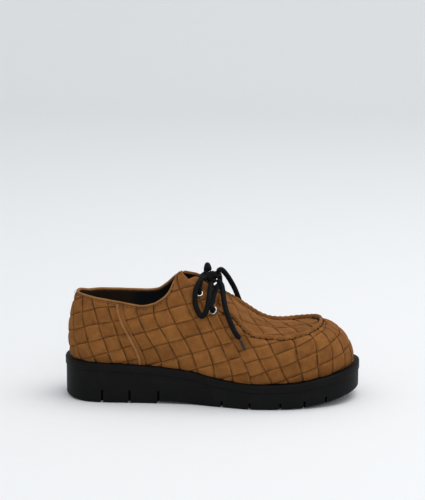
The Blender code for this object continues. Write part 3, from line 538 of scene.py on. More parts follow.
def smooth_route(points: tuple, spacing: float) -> np.ndarray:
    """Read evenly spaced points from a smooth curve through a route's own points.

    Args:
        points: The route's points.
        spacing: Distance between the points read.

    Returns:
        Points along a cubic curve that passes through every point of the route.
    """
    points = np.array(points, float)
    ends = np.vstack([2 * points[0] - points[1], points, 2 * points[-1] - points[-2]])
    t = np.linspace(0, 1, 16, endpoint=False)[:, None]
    runs = [0.5 * (2 * b + (c - a) * t + (2 * a - 5 * b + 4 * c - d) * t**2 + (3 * b - a - 3 * c + d) * t**3)
            for a, b, c, d in zip(ends, ends[1:], ends[2:], ends[3:])]
    return spaced(np.vstack(runs + [points[-1:]]), spacing)


def spaced(line: np.ndarray, spacing: float) -> np.ndarray:
    """Read a line of points again at even distances."""
    length = np.concatenate([[0], np.cumsum(np.linalg.norm(np.diff(line, axis=0), axis=1))])
    place = np.linspace(0, length[-1], max(2, round(length[-1] / spacing)) + 1)
    return np.stack([np.interp(place, length, line[:, i]) for i in range(3)], -1)


def unit(vectors: np.ndarray) -> np.ndarray:
    """Vectors at length one."""
    return vectors / np.linalg.norm(vectors, axis=-1, keepdims=True)


def eased(value: np.ndarray, low: float, high: float) -> np.ndarray:
    """Smooth step from 0 at low to 1 at high."""
    t = np.clip((value - low) / (high - low), 0, 1)
    return t * t * (3 - 2 * t)


class Run(NamedTuple):
    """Columns of a wall: their stations, their sides and their distance along the foot line."""

    station: np.ndarray
    side: np.ndarray
    along: np.ndarray


class RunKind(Enum):
    """Which way round the foot a run of columns goes."""

    HEEL = "from the medial side round the heel to the lateral side"
    TOE = "from the lateral side round the toe to the medial side"
    SIDE = "along one side"


def foot_run(start: float, end: float, side: int, spacing: float) -> Run:
    """Columns along one side, evenly spaced on the foot line.

    Args:
        start: First station.
        end: Last station.
        side: Lateral or medial.
        spacing: Distance between columns.

    Returns:
        The columns, with the distance from the back of the heel.
    """
    fine = 0.5 - 0.5 * np.cos(np.linspace(0, math.pi, 4001))
    line = foot_line(fine, side)
    length = np.concatenate([[0], np.cumsum(np.linalg.norm(np.diff(line, axis=0), axis=1))])
    first, last = np.interp([start, end], fine, length)
    along = np.linspace(first, last, max(2, round((last - first) / spacing)) + 1)
    return Run(np.interp(along, length, fine), np.full(len(along), side), along)


def round_run(kind: RunKind, start: float, spacing: float) -> Run:
    """Columns round the heel or the toe from one station back to the same on the other side.

    Args:
        kind: Heel or toe.
        start: Station at both ends of the run.
        spacing: Distance between columns.

    Returns:
        The columns. Distance runs on past the back of the heel, where it is 0, or past the tip of the toe.
    """
    if kind is RunKind.HEEL:
        medial = foot_run(0.0, start, MEDIAL, spacing)
        lateral = foot_run(0.0, start, LATERAL, spacing)
        return Run(np.concatenate([medial.station[:0:-1], lateral.station]),
                   np.concatenate([medial.side[:0:-1], lateral.side]),
                   np.concatenate([-medial.along[:0:-1], lateral.along]))
    lateral = foot_run(start, 1.0, LATERAL, spacing)
    medial = foot_run(start, 1.0, MEDIAL, spacing)
    back = lateral.along[-1] + medial.along[-1] - medial.along[-2::-1]
    return Run(np.concatenate([lateral.station, medial.station[-2::-1]]),
               np.concatenate([lateral.side, medial.side[-2::-1]]),
               np.concatenate([lateral.along, back]))


def run_skin(run: Run, levels: np.ndarray) -> np.ndarray:
    """Grid of skin points, a row for each level and a column for each place of the run."""
    station, level = run.station[None, :], levels[:, None]
    lateral, medial = skin(station, level, LATERAL), skin(station, level, MEDIAL)
    return np.where((run.side < 0)[None, :, None], lateral, medial)


def run_normals(run: Run, levels: np.ndarray) -> np.ndarray:
    """Unit directions out of the skin for the same grid."""
    station, level = run.station[None, :], levels[:, None]
    lateral = skin_normal(np.clip(station, 0.003, 0.997), level, LATERAL)
    medial = skin_normal(np.clip(station, 0.003, 0.997), level, MEDIAL)
    normals = np.where((run.side < 0)[None, :, None], lateral, medial)
    level_way = np.where(station[..., None] < 0.5, -1.0, 1.0) * np.array([1.0, 0.0, 0.0])
    at_end = ((station < 0.003) | (station > 0.997))[..., None]
    mirrored = normals * [1, 0, 1] + 0 * level_way
    return unit(np.where(at_end, mirrored, normals))


class Wiring:
    """Adds nodes to a node tree and joins them."""

    def __init__(self, tree: bpy.types.NodeTree) -> None:
        """Work on a tree."""
        self.tree = tree

    def node(self, kind: str, inputs: dict | None = None, **settings) -> bpy.types.Node:
        """Add a node.

        Args:
            kind: The node's type.
            inputs: Values or sockets for its inputs, by name or number.
            settings: Its own properties.

        Returns:
            The node.
        """
        made = self.tree.nodes.new(kind)
        for key, value in settings.items():
            setattr(made, key, value)
        for key, value in (inputs or {}).items():
            if isinstance(value, bpy.types.NodeSocket):
                self.tree.links.new(value, made.inputs[key])
            else:
                made.inputs[key].default_value = value
        return made

    def math(self, operation: str, *values) -> bpy.types.NodeSocket:
        """Join values or sockets by one sum and return its result."""
        return self.node("ShaderNodeMath", dict(enumerate(values)), operation=operation).outputs[0]

    def span(self, value, low: float, high: float, start: float, end: float) -> bpy.types.NodeSocket:
        """Smooth step of a value between low and high, put out between start and end."""
        made = self.node("ShaderNodeMapRange", {"Value": value, "From Min": low, "From Max": high,
                                                "To Min": start, "To Max": end},
                         interpolation_type="SMOOTHSTEP")
        return made.outputs["Result"]

    def noise(self, place, scale: float, detail: float = 3.0, roughness: float = 0.55) -> bpy.types.NodeSocket:
        """Soft noise at a scale in waves a metre."""
        made = self.node("ShaderNodeTexNoise", {"Vector": place, "Scale": scale, "Detail": detail,
                                                "Roughness": roughness})
        return made.outputs["Fac"]

    def mixed(self, share, first, second, blend: str = "MIX") -> bpy.types.NodeSocket:
        """Colour that goes from first to second by a share."""
        made = self.node("ShaderNodeMix", {0: share, 6: first, 7: second}, data_type="RGBA", blend_type=blend)
        return made.outputs[2]

    def group(self, tree: bpy.types.NodeTree, inputs: dict) -> bpy.types.Node:
        """Place a shared group with its own values."""
        made = self.tree.nodes.new("ShaderNodeGroup")
        made.node_tree = tree
        for key, value in inputs.items():
            if isinstance(value, bpy.types.NodeSocket):
                self.tree.links.new(value, made.inputs[key])
            else:
                made.inputs[key].default_value = value
        return made


def new_group(name: str, inputs: dict[str, str], outputs: dict[str, str]) -> tuple:
    """Start a shader node group.

    Args:
        name: Its name.
        inputs: Socket types by name.
        outputs: Socket types by name.

    Returns:
        The tree, its wiring, the input node and the output node.
    """
    tree = bpy.data.node_groups.new(name, "ShaderNodeTree")
    for way, sockets in (("INPUT", inputs), ("OUTPUT", outputs)):
        for title, kind in sockets.items():
            tree.interface.new_socket(title, in_out=way, socket_type=kind)
    wiring = Wiring(tree)
    return tree, wiring, wiring.node("NodeGroupInput"), wiring.node("NodeGroupOutput")


FLOAT = "NodeSocketFloat"
VECTOR = "NodeSocketVector"


def woven_group() -> bpy.types.NodeTree:
    """Cells of the plain weave: crevices between strips, the ends where a strip passes under its neighbours, the
    side edges of a strip, a tone a strip and its direction. Crevices and ends take painted shade; side edges are
    lightened for wear of the nap and as a painted highlight.

    Returns:
        A group that takes cell coordinates and a place, and puts out the crevice mask, the mask of rubbed and lit
        side edges, the mask of painted shade at a strip's ends, the tone and the grain.
    """
    tree, w, source, sink = new_group("woven_cells", {"Cells": VECTOR, "Place": VECTOR},
                                      {"Crevice": FLOAT, "WornAndLit": FLOAT, "DiveShade": FLOAT, "Tone": FLOAT,
                                       "Grain": FLOAT})
    parts = w.node("ShaderNodeSeparateXYZ", {0: source.outputs["Cells"]})
    steep, cross = parts.outputs[0], parts.outputs[1]
    wave = w.noise(source.outputs["Place"], 240.0, 2.0)
    waver = w.math("MULTIPLY", w.math("SUBTRACT", wave, 0.5), 0.05)
    near: list[bpy.types.NodeSocket] = []
    for value in (steep, cross):
        share = w.math("FRACT", w.math("ADD", value, waver))
        near.append(w.math("MINIMUM", share, w.math("SUBTRACT", 1.0, share)))
    # Crevice mask, broken up by noise and stronger along the steep lines than the cross ones: it darkens the
    # colour as painted shade between the strips and sinks the relief.
    broken = w.span(w.noise(source.outputs["Place"], 130.0, 2.0), 0.36, 0.60, 0.45, 1.0)
    gap = w.math("MAXIMUM", w.span(near[0], 0.008, 0.055, 1.0, 0.0), w.span(near[1], 0.004, 0.038, 0.85, 0.0))
    w.tree.links.new(w.math("MULTIPLY", gap, broken), sink.inputs["Crevice"])
    cell = w.node("ShaderNodeCombineXYZ", {0: w.math("FLOOR", steep), 1: w.math("FLOOR", cross)})
    tone = w.node("ShaderNodeTexWhiteNoise", {"Vector": cell.outputs[0]}, noise_dimensions="2D")
    w.tree.links.new(tone.outputs["Value"], sink.inputs["Tone"])
    over = w.math("MODULO", w.math("ABSOLUTE", w.math("ADD", w.math("FLOOR", steep),
                                                      w.math("FLOOR", cross))), 2.0)
    end = w.node("ShaderNodeMix", {0: over, 2: near[1], 3: near[0]}, data_type="FLOAT").outputs[0]
    side = w.node("ShaderNodeMix", {0: over, 2: near[0], 3: near[1]}, data_type="FLOAT").outputs[0]
    # Mask of a strip's ends, where it passes under its neighbours: painted shade.
    w.tree.links.new(w.span(end, 0.0, 0.22, 1.0, 0.0), sink.inputs["DiveShade"])
    # Mask just inside a strip's sides: lightened for wear of the nap and as a painted highlight.
    rim = w.math("MULTIPLY", w.span(side, 0.03, 0.07, 0.0, 1.0), w.span(side, 0.07, 0.17, 1.0, 0.0))
    w.tree.links.new(rim, sink.inputs["WornAndLit"])
    along = w.node("ShaderNodeVectorMath", {0: source.outputs["Cells"], 1: (26.0, 5.0, 1.0)},
                   operation="MULTIPLY")
    aside = w.node("ShaderNodeVectorMath", {0: source.outputs["Cells"], 1: (5.0, 26.0, 1.0)},
                   operation="MULTIPLY")
    first, second = (w.noise(streak.outputs[0], 1.0, 3.0, 0.6) for streak in (along, aside))
    grain = w.node("ShaderNodeMix", {0: over, 2: first, 3: second}, data_type="FLOAT")
    w.tree.links.new(grain.outputs[0], sink.inputs["Grain"])
    return tree


def nap_group() -> bpy.types.NodeTree:
    """Nap of suede: soft cloudy brushing and short fibres.

    Returns:
        A group that takes a place and puts out Brushed and Fibre, both about 0.5.
    """
    tree, w, source, sink = new_group("suede_nap", {"Place": VECTOR}, {"Brushed": FLOAT, "Fibre": FLOAT})
    place = source.outputs["Place"]
    w.tree.links.new(w.noise(place, 95.0, 4.0, 0.6), sink.inputs["Brushed"])
    w.tree.links.new(w.noise(place, 1500.0, 3.0, 0.7), sink.inputs["Fibre"])
    return tree


def grain_group() -> bpy.types.NodeTree:
    """Fine grain and dust of rubber, cord and lining.

    Returns:
        A group that takes a place and a scale and puts out Grain and Dust.
    """
    tree, w, source, sink = new_group("fine_grain", {"Place": VECTOR, "Scale": FLOAT},
                                      {"Grain": FLOAT, "Dust": FLOAT})
    fine = w.node("ShaderNodeTexNoise", {"Vector": source.outputs["Place"], "Scale": source.outputs["Scale"],
                                         "Detail": 4.0, "Roughness": 0.65})
    w.tree.links.new(fine.outputs["Fac"], sink.inputs["Grain"])
    w.tree.links.new(w.noise(source.outputs["Place"], 60.0, 5.0, 0.7), sink.inputs["Dust"])
    return tree


class Cover(Enum):
    """How a finish is wired."""

    WOVEN_SUEDE = "woven suede"
    SUEDE = "suede"
    RUBBER = "rubber"
    CORD = "cord"
    CLOTH = "cloth"
    METAL = "metal"
    PLAIN = "plain"


@dataclass(frozen=True)
class Finish:
    """A surface: its record slot, how it is wired and its constants."""

    name: str
    slot: str | None
    cover: Cover
    light: tuple[float, float, float]
    dark: tuple[float, float, float]
    roughness: float
    metallic: float = 0.0
    sheen: float = 0.0
    relief: float = 0.0002
    shine: float = 0.5

    def surface(self, groups: dict[str, bpy.types.NodeTree]) -> bpy.types.Material:
        """Make the material.

        Args:
            groups: Shared node groups by name.

        Returns:
            The material with its nodes.
        """
        made = bpy.data.materials.new(self.name)
        made.use_nodes = True
        w = Wiring(made.node_tree)
        shader = made.node_tree.nodes["Principled BSDF"]
        shader.inputs["Roughness"].default_value = self.roughness
        shader.inputs["Metallic"].default_value = self.metallic
        shader.inputs["Sheen Weight"].default_value = self.sheen
        shader.inputs["Sheen Roughness"].default_value = 0.5
        shader.inputs["Specular IOR Level"].default_value = self.shine
        shader.inputs["Sheen Tint"].default_value = (*self.light, 1.0)
        place = w.node("ShaderNodeTexCoord").outputs["Object"]
        colour, height = {
            Cover.WOVEN_SUEDE: self.woven, Cover.SUEDE: self.suede, Cover.RUBBER: self.grained,
            Cover.CORD: self.grained, Cover.CLOTH: self.cloth, Cover.METAL: self.grained,
            Cover.PLAIN: self.grained}[self.cover](w, groups, place)
        bump = w.node("ShaderNodeBump", {"Height": height, "Strength": 1.0, "Distance": self.relief})
        made.node_tree.links.new(colour, shader.inputs["Base Color"])
        made.node_tree.links.new(bump.outputs[0], shader.inputs["Normal"])
        made.diffuse_color = (*self.light, 1.0)
        return made

    def suede(self, w: Wiring, groups: dict, place: bpy.types.NodeSocket) -> tuple:
        """Wire plain suede: dark to light by brushing, with short fibres in colour and relief."""
        nap = w.group(groups["nap"], {"Place": place})
        share = w.span(nap.outputs["Brushed"], 0.30, 0.70, 0.15, 0.85)
        fibre = w.math("MULTIPLY", w.math("SUBTRACT", nap.outputs["Fibre"], 0.5), 0.9)
        colour = w.mixed(w.math("ADD", share, fibre), (*self.dark, 1.0), (*self.light, 1.0))
        return colour, nap.outputs["Fibre"]

    def woven(self, w: Wiring, groups: dict, place: bpy.types.NodeSocket) -> tuple:
        """Wire woven suede: the plain suede with a tone a strip, painted shade in the crevices and at the ends
        where strips pass under, and side edges lightened for wear of the nap and as a painted highlight.
        """
        cells = w.node("ShaderNodeUVMap", uv_map="weave").outputs[0]
        weave = w.group(groups["weave"], {"Cells": cells, "Place": place})
        nap = w.group(groups["nap"], {"Place": place})
        brushed = w.span(nap.outputs["Brushed"], 0.30, 0.70, -0.22, 0.22)
        fibre = w.math("MULTIPLY", w.math("SUBTRACT", nap.outputs["Fibre"], 0.5), 0.8)
        grain = w.math("MULTIPLY", w.math("SUBTRACT", weave.outputs["Grain"], 0.5), 0.7)
        tone = w.math("MULTIPLY", w.math("SUBTRACT", weave.outputs["Tone"], 0.5), 0.42)
        # Side edges lightened: wear of the nap and a painted highlight.
        worn_and_lit = w.math("MULTIPLY", weave.outputs["WornAndLit"], 0.22)
        # Ends where a strip passes under its neighbours darkened: painted shade.
        dive_shade = w.math("MULTIPLY", weave.outputs["DiveShade"], -0.34)
        share = 0.54
        for part in (brushed, fibre, grain, tone, worn_and_lit, dive_shade):
            share = w.math("ADD", part, share)
        flat = w.mixed(share, (*self.dark, 1.0), (*self.light, 1.0))
        # Crevices darkened toward a near black copy of the dark tone: painted shade between the strips.
        deep = tuple(0.22 * value for value in self.dark)
        colour = w.mixed(w.math("MULTIPLY", weave.outputs["Crevice"], 0.74), flat, (*deep, 1.0))
        sunk = w.math("MULTIPLY", weave.outputs["Crevice"], -2.2)
        height = w.math("ADD", nap.outputs["Fibre"], w.math("ADD", grain, sunk))
        return colour, height

    def grained(self, w: Wiring, groups: dict, place: bpy.types.NodeSocket) -> tuple:
        """Wire a moulded, spun or polished surface: fine grain with a little dust in it."""
        scale = {Cover.RUBBER: 900.0, Cover.CORD: 2600.0, Cover.METAL: 500.0}.get(self.cover, 1200.0)
        grain = w.group(groups["grain"], {"Place": place, "Scale": scale})
        dust = w.span(grain.outputs["Dust"], 0.42, 0.72, 0.0, 0.55)
        speck = w.math("MULTIPLY", w.math("SUBTRACT", grain.outputs["Grain"], 0.5), 0.8)
        colour = w.mixed(w.math("ADD", dust, speck), (*self.dark, 1.0), (*self.light, 1.0))
        return colour, grain.outputs["Grain"]

    def cloth(self, w: Wiring, groups: dict, place: bpy.types.NodeSocket) -> tuple:
        """Wire the lining: brown at the heel and dark ahead of the piping, by place along the shoe."""
        grain = w.group(groups["grain"], {"Place": place, "Scale": 700.0})
        parts = w.node("ShaderNodeSeparateXYZ", {0: place})
        ahead = w.span(parts.outputs[0], -0.088, -0.076, 0.0, 1.0)
        speck = w.math("MULTIPLY", w.math("SUBTRACT", grain.outputs["Grain"], 0.5), 0.5)
        base = w.mixed(ahead, (*self.light, 1.0), (*self.dark, 1.0))
        deep = w.mixed(ahead, tuple(0.5 * value for value in self.light) + (1.0,), (0.004, 0.005, 0.007, 1.0))
        return w.mixed(w.math("ADD", speck, 0.5), deep, base), grain.outputs["Grain"]


WOVEN = Finish("woven_suede", "suede", Cover.WOVEN_SUEDE, (0.272, 0.109, 0.028), (0.130, 0.048, 0.011), 0.95,
               sheen=0.12, relief=0.00030, shine=0.15)
SUEDE = Finish("plain_suede", "suede", Cover.SUEDE, (0.275, 0.114, 0.032), (0.150, 0.058, 0.014), 0.95,
               sheen=0.12, relief=0.00022, shine=0.15)
CUT_EDGE = Finish("cut_edge", "suede", Cover.SUEDE, (0.300, 0.140, 0.050), (0.190, 0.084, 0.026), 0.92,
                  sheen=0.12, relief=0.00018, shine=0.15)
# Dark brown thread colour for real stitches, also given to thin tubes that are painted shadow lines beside the
# toe seam and along the heel straps.
THREAD_AND_SHADOW_LINE = Finish("brown_thread_and_shadow_line", "suede", Cover.CORD, (0.040, 0.016, 0.006), (0.020, 0.008, 0.003), 0.80,
                shine=0.15)
LINING = Finish("heel_lining", "lining", Cover.CLOTH, (0.034, 0.019, 0.012), (0.008, 0.009, 0.012), 0.82,
                shine=0.20)
RUBBER = Finish("matte_rubber", "rubber", Cover.RUBBER, (0.0062, 0.0062, 0.0066), (0.0026, 0.0026, 0.0029),
                0.58, relief=0.00010, shine=0.11)
CORD = Finish("braided_cord", "cord", Cover.CORD, (0.0062, 0.0066, 0.0082), (0.0018, 0.0020, 0.0026), 0.70,
              sheen=0.04, relief=0.00012, shine=0.11)
TIP = Finish("lace_tip", "tip", Cover.PLAIN, (0.014, 0.014, 0.016), (0.006, 0.006, 0.007), 0.30, relief=2e-5,
             shine=0.35)
METAL = Finish("pale_metal", "eyelet", Cover.METAL, (0.80, 0.79, 0.77), (0.62, 0.61, 0.59), 0.24,
               metallic=1.0, relief=2e-5)
PAPER = Finish("pale_floor", None, Cover.PLAIN, (0.80, 0.81, 0.82), (0.79, 0.80, 0.81), 0.95, relief=1e-5)


class Shell(NamedTuple):
    """A closed mesh from two matching grids, with the cell coordinates of its outer one."""

    outer: np.ndarray
    inner: np.ndarray
    cells: np.ndarray | None


class Workshop:
    """Holds the shared groups and finishes, and turns arrays into finished pieces."""

    def __init__(self) -> None:
        """Make the shared groups; each finish's material is made when first asked for."""
        self.groups = {"weave": woven_group(), "nap": nap_group(), "grain": grain_group()}
        self.surfaces: dict[str, bpy.types.Material] = {}

    def surface(self, finish: Finish) -> bpy.types.Material:
        """The one material of a finish."""
        if finish.name not in self.surfaces:
            self.surfaces[finish.name] = finish.surface(self.groups)
        return self.surfaces[finish.name]

    def piece(self, name: str, points: np.ndarray, faces: np.ndarray, finish: Finish,
              replaced: tuple[str, ...] = (), cells: np.ndarray | None = None,
              sharp: float = 50.0) -> bpy.types.Object:
        """Make a closed mesh into a piece of the shoe, with its doubles merged and its faces outwards.

        Args:
            name: The piece's name.
            points: Its vertices.
            faces: Vertex numbers of its four-sided faces.
            finish: Its surface.
            replaced: CAD nodes that it stands for.
            cells: Weave coordinates, one pair a vertex.
            sharp: Angle in degrees past which an edge isn't smoothed.

        Returns:
            The object.
        """
        mesh = bpy.data.meshes.new(name)
        mesh.from_pydata(points.tolist(), [], faces.tolist())
        if cells is not None:
            layer = mesh.uv_layers.new(name="weave")
            layer.data.foreach_set("uv", cells[faces.ravel()].astype(np.float32).ravel())
        shape = bmesh.new()
        shape.from_mesh(mesh)
        bmesh.ops.remove_doubles(shape, verts=shape.verts, dist=1e-6)
        bmesh.ops.dissolve_degenerate(shape, edges=shape.edges, dist=1e-7)
        bmesh.ops.recalc_face_normals(shape, faces=shape.faces)
        shape.to_mesh(mesh)
        shape.free()
        mesh.shade_smooth()
        mesh.set_sharp_from_angle(angle=math.radians(sharp))
        mesh.materials.append(self.surface(finish))
        thing = bpy.data.objects.new(name, mesh)
        bpy.context.scene.collection.objects.link(thing)
        if finish.slot is None:
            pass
        else:
            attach(thing, "root")
        if replaced:
            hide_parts(*replaced)
        LOG.info("%s: %d faces", name, len(mesh.polygons))
        return thing

    def shell(self, name: str, shell: Shell, finish: Finish, replaced: tuple[str, ...] = (),
              open_rows: tuple[int, ...] = (0, -1)) -> bpy.types.Object:
        """Make a piece from two matching grids, closed along the ends and the rows that are given.

        Args:
            name: The piece's name.
            shell: The grids.
            finish: Its surface.
            replaced: CAD nodes that it stands for.
            open_rows: Rows whose outer and inner edges a strip joins; the others weld to themselves.

        Returns:
            The object.
        """
        rows, columns = shell.outer.shape[:2]
        number = np.arange(rows * columns).reshape(rows, columns)
        below = number + rows * columns
        faces = [quads(number), quads(below)[:, ::-1]]
        for row in open_rows:
            faces.append(strip(number[row], below[row]))
        for column in (0, -1):
            faces.append(strip(number[:, column], below[:, column]))
        points = np.vstack([shell.outer.reshape(-1, 3), shell.inner.reshape(-1, 3)])
        cells = None
        if shell.cells is not None:
            cells = np.vstack([shell.cells.reshape(-1, 2)] * 2)
        return self.piece(name, points, np.vstack(faces), finish, replaced, cells)

    def swept(self, name: str, rings: np.ndarray, finish: Finish, replaced: tuple[str, ...] = (),
              cells: np.ndarray | None = None) -> bpy.types.Object:
        """Make a piece from closed rings along a path, with both ends closed to their middles.

        Args:
            name: The piece's name.
            rings: Points, a row for each ring.
            finish: Its surface.
            replaced: CAD nodes that it stands for.
            cells: Weave coordinates of the same shape.

        Returns:
            The object.
        """
        points, faces = ring_mesh(rings)
        return self.piece(name, points, faces, finish, replaced, cells)


def quads(number: np.ndarray) -> np.ndarray:
    """Four-sided faces between the neighbours of a grid of vertex numbers."""
    corners = (number[:-1, :-1], number[:-1, 1:], number[1:, 1:], number[1:, :-1])
    return np.stack([corner.ravel() for corner in corners], -1)


def strip(first: np.ndarray, second: np.ndarray) -> np.ndarray:
    """Four-sided faces between two lines of vertex numbers."""
    return np.stack([first[:-1], first[1:], second[1:], second[:-1]], -1)


def ring_mesh(rings: np.ndarray) -> tuple[np.ndarray, np.ndarray]:
    """Vertices and faces of closed rings along a path, with both ends closed to their middles.

    Args:
        rings: Points, a row for each ring.

    Returns:
        The vertices and the faces.
    """
    caps = [np.repeat(rings[i].mean(0)[None, :], rings.shape[1], axis=0)[None] for i in (0, -1)]
    grid = np.concatenate([caps[0], rings, caps[1]])
    grid = np.concatenate([grid, grid[:, :1]], axis=1)
    number = np.arange(grid.shape[0] * grid.shape[1]).reshape(grid.shape[:2])
    return grid.reshape(-1, 3), quads(number)


def path_frames(path: np.ndarray, first: np.ndarray) -> tuple[np.ndarray, np.ndarray]:
    """Two directions across a path that turn with it but never twist about it.

    Args:
        path: Points.
        first: A direction that is roughly across its start.

    Returns:
        The two unit directions at each point.
    """
    tangent = unit(np.gradient(path, axis=0))
    across = np.empty_like(path)
    current = first
    for i, way in enumerate(tangent):
        current = current - way * np.dot(current, way)
        current = current / np.linalg.norm(current)
        across[i] = current
    return across, np.cross(tangent, across)


def weave_height(cells: np.ndarray) -> np.ndarray:
    """Relief of a plain weave, from 0 to 1.

    Strips cross at right angles, and cells take turns: the strip on top arches along itself, dives under
    its neighbours at both ends, and is rounded at its two sides.

    Args:
        cells: Cell coordinates, along the cross strips and along the steep ones.

    Returns:
        The height at each point.
    """
    share = cells % 1.0
    over = (np.floor(cells[..., 0]) + np.floor(cells[..., 1])) % 2 < 0.5
    along = np.where(over, share[..., 1], share[..., 0])
    aside = np.where(over, share[..., 0], share[..., 1])
    arch = 1 - np.abs(2 * along - 1) ** 3.2
    side = 1 - np.abs(2 * aside - 1) ** 9
    return (0.30 + 0.70 * arch) * (0.50 + 0.50 * side)


@dataclass
class WovenUpper:
    """The upper: woven panels over heel, quarters, vamp and apron, with the lining behind them."""

    workshop: Workshop
    spacing: float = 0.00075
    relief: float = 0.0016
    cloth: float = 0.0016
    sunk: float = 0.72
    pitch: float = 0.0164
    plain_edge: float = 0.0022
    heel_pitch: float = 0.0154
    heel_steep_pitch: float = 0.0163
    apron_pitch: float = 0.0178
    toe_reach: float = 0.075
    strap_width: float = 0.0054

    def rows(self, height: float) -> int:
        """How many rows a wall of a height has."""
        return int(round(height / self.spacing))

    def wall(self, run: Run, height: float, cells_of, step: float) -> tuple[Shell, np.ndarray]:
        """Woven wall from the sole to its edge: skin plus relief outside, skin less the cloth inside.

        Args:
            run: Columns of the wall.
            height: About how high it is.
            cells_of: Function from (points, rise, drift, run) to cell coordinates.
            step: How far its ground stands off the skin.

        Returns:
            The shell and its outer grid.
        """
        levels = np.linspace(0, 1, self.rows(height))
        points = run_skin(run, levels)
        normals = run_normals(run, levels)
        rise = np.zeros(points.shape[:2])
        rise[1:] = np.cumsum(np.linalg.norm(np.diff(points, axis=0), axis=2), axis=0)
        out = np.stack([outward(run.station, LATERAL), outward(run.station, MEDIAL)])
        out = np.where((run.side < 0)[:, None], out[0], out[1])
        way = np.stack([out[:, 1] * 1.0, -out[:, 0], 0 * out[:, 0]], -1) * run.side[:, None]
        drift = np.einsum("ijk,jk->ij", points[:1] - points, way)
        cells = cells_of(points, rise, drift, run)
        from_top = rise[-1:] - rise
        woven = eased(from_top, 0.4 * self.plain_edge, self.plain_edge)
        height_map = self.relief * (weave_height(cells) * woven + 0.55 * (1 - woven))
        outer = points + normals * (step + height_map)[..., None]
        inner = points + normals * (step - self.cloth)
        return Shell(outer, inner, cells), height_map

    def heel_cells(self, points: np.ndarray, rise: np.ndarray, drift: np.ndarray, run: Run) -> np.ndarray:
        """Cells of the heel: steep strips lean back, cross strips climb to the toe, on round the back.

        Args:
            points: Grid of skin points.
            rise: Height along the wall.
            drift: How far each point lies behind the foot of its column.
            run: Columns.

        Returns:
            Cell coordinates.
        """
        ahead = run.along - run.along[-1] + points[0, -1, 0]
        behind = drift * np.sign(run.along)[None, :]
        tall = rise + points[:1, :, 2]
        x = ahead[None, :] - behind
        steep = (x + 0.33 * tall + 0.0842) / self.heel_steep_pitch
        cross = (0.145 - 0.951 * tall + 0.34 * x) / self.heel_pitch
        return np.stack([steep, cross], -1)

    def quarter_cells(self, points: np.ndarray, rise: np.ndarray, drift: np.ndarray, run: Run) -> np.ndarray:
        """Cells of a quarter: steep strips follow the stations, cross strips climb to the toe.

        Args:
            points: Grid of skin points.
            rise: Height along the wall.
            drift: Not used.
            run: Columns.

        Returns:
            Cell coordinates.
        """
        steep = (run.station - 0.329)[None, :] / 0.0632 + 0 * rise
        seen = 0.951 * points[..., 2] - 0.273 * np.abs(points[..., 1] - SHIFT)
        cross = (0.0768 - seen + 0.276 * points[..., 0]) / self.pitch
        return np.stack([steep, cross], -1)

    def vamp_cells(self, points: np.ndarray, rise: np.ndarray, drift: np.ndarray, run: Run) -> np.ndarray:
        """Cells of the vamp: steep strips lean less toward the toe, cross strips climb round it.

        Args:
            points: Not used.
            rise: Height along the wall.
            drift: How far each point lies behind the foot of its column.
            run: Columns.

        Returns:
            Cell coordinates.
        """
        start = float(np.interp(QUARTER_STATION, run.station[run.side < 0], run.along[run.side < 0]))
        half = np.where(run.side < 0, 1.0, -1.0)[None, :]
        lean = 0.46 * (1 - eased(run.station, 0.72, 0.99))[None, :]
        ahead = run.along[None, :] - start - drift * half
        at = run.along[None, :] - start - (drift - lean * rise) * half
        steep = np.where(at < 0.0203, at / 0.0203, 1 + (at - 0.0203) / 0.0160)
        climb = 0.404 * self.toe_reach * np.tanh(ahead / self.toe_reach)
        cross = (rise - climb - 0.0236) / self.pitch
        return np.stack([steep, cross], -1)

    def heel_panel(self) -> None:
        """Make the heel panel, from one piping round the back to the other."""
        run = round_run(RunKind.HEEL, PIPING_STATION + 0.002, self.spacing)
        shell, _ = self.wall(run, COLLAR_RISE, self.heel_cells,
                              QUARTER_STEP - 1.1 * self.sunk * self.relief)
        self.workshop.shell("heel_panel", shell, WOVEN, ("upper",))

    def quarters(self) -> None:
        """Make both quarters, each with the plain strap along its piping and its clean front edge."""
        for name, side in SIDES.items():
            run = foot_run(PIPING_STATION, QUARTER_STATION, side, self.spacing)
            ground = QUARTER_STEP - self.sunk * self.relief
            shell, relief = self.wall(run, 0.080, self.quarter_cells, ground)
            levels = np.linspace(0, 1, shell.outer.shape[0])
            points, normals = run_skin(run, levels), run_normals(run, levels)
            from_piping = np.linalg.norm(points - points[:, :1], axis=2)
            strap = 1 - eased(from_piping, self.strap_width - 0.0004, self.strap_width + 0.0002)
            groove = np.exp(-((from_piping - self.strap_width - 0.0005) / 0.0005) ** 2)
            plain = 0.95 * self.relief * strap + relief * (1 - strap) - 0.5 * self.relief * groove
            shell = shell._replace(outer=points + normals * (ground + plain)[..., None])
            shell.cells[..., 0] = np.where(strap > 0.5, -0.5 + 0.02 * shell.cells[..., 0], shell.cells[..., 0])
            shell.cells[..., 1] = np.where(strap > 0.5, 0.5 + 0.02 * shell.cells[..., 1], shell.cells[..., 1])
            self.workshop.shell(f"woven_quarter_{name}", shell, WOVEN, ("upper",))

    def vamp(self) -> None:
        """Make the vamp, from under one quarter round the toe to the other."""
        run = round_run(RunKind.TOE, QUARTER_STATION - 0.014, self.spacing)
        shell, _ = self.wall(run, 0.050, self.vamp_cells, -self.sunk * self.relief)
        self.workshop.shell("woven_vamp", shell, WOVEN, ("upper",))

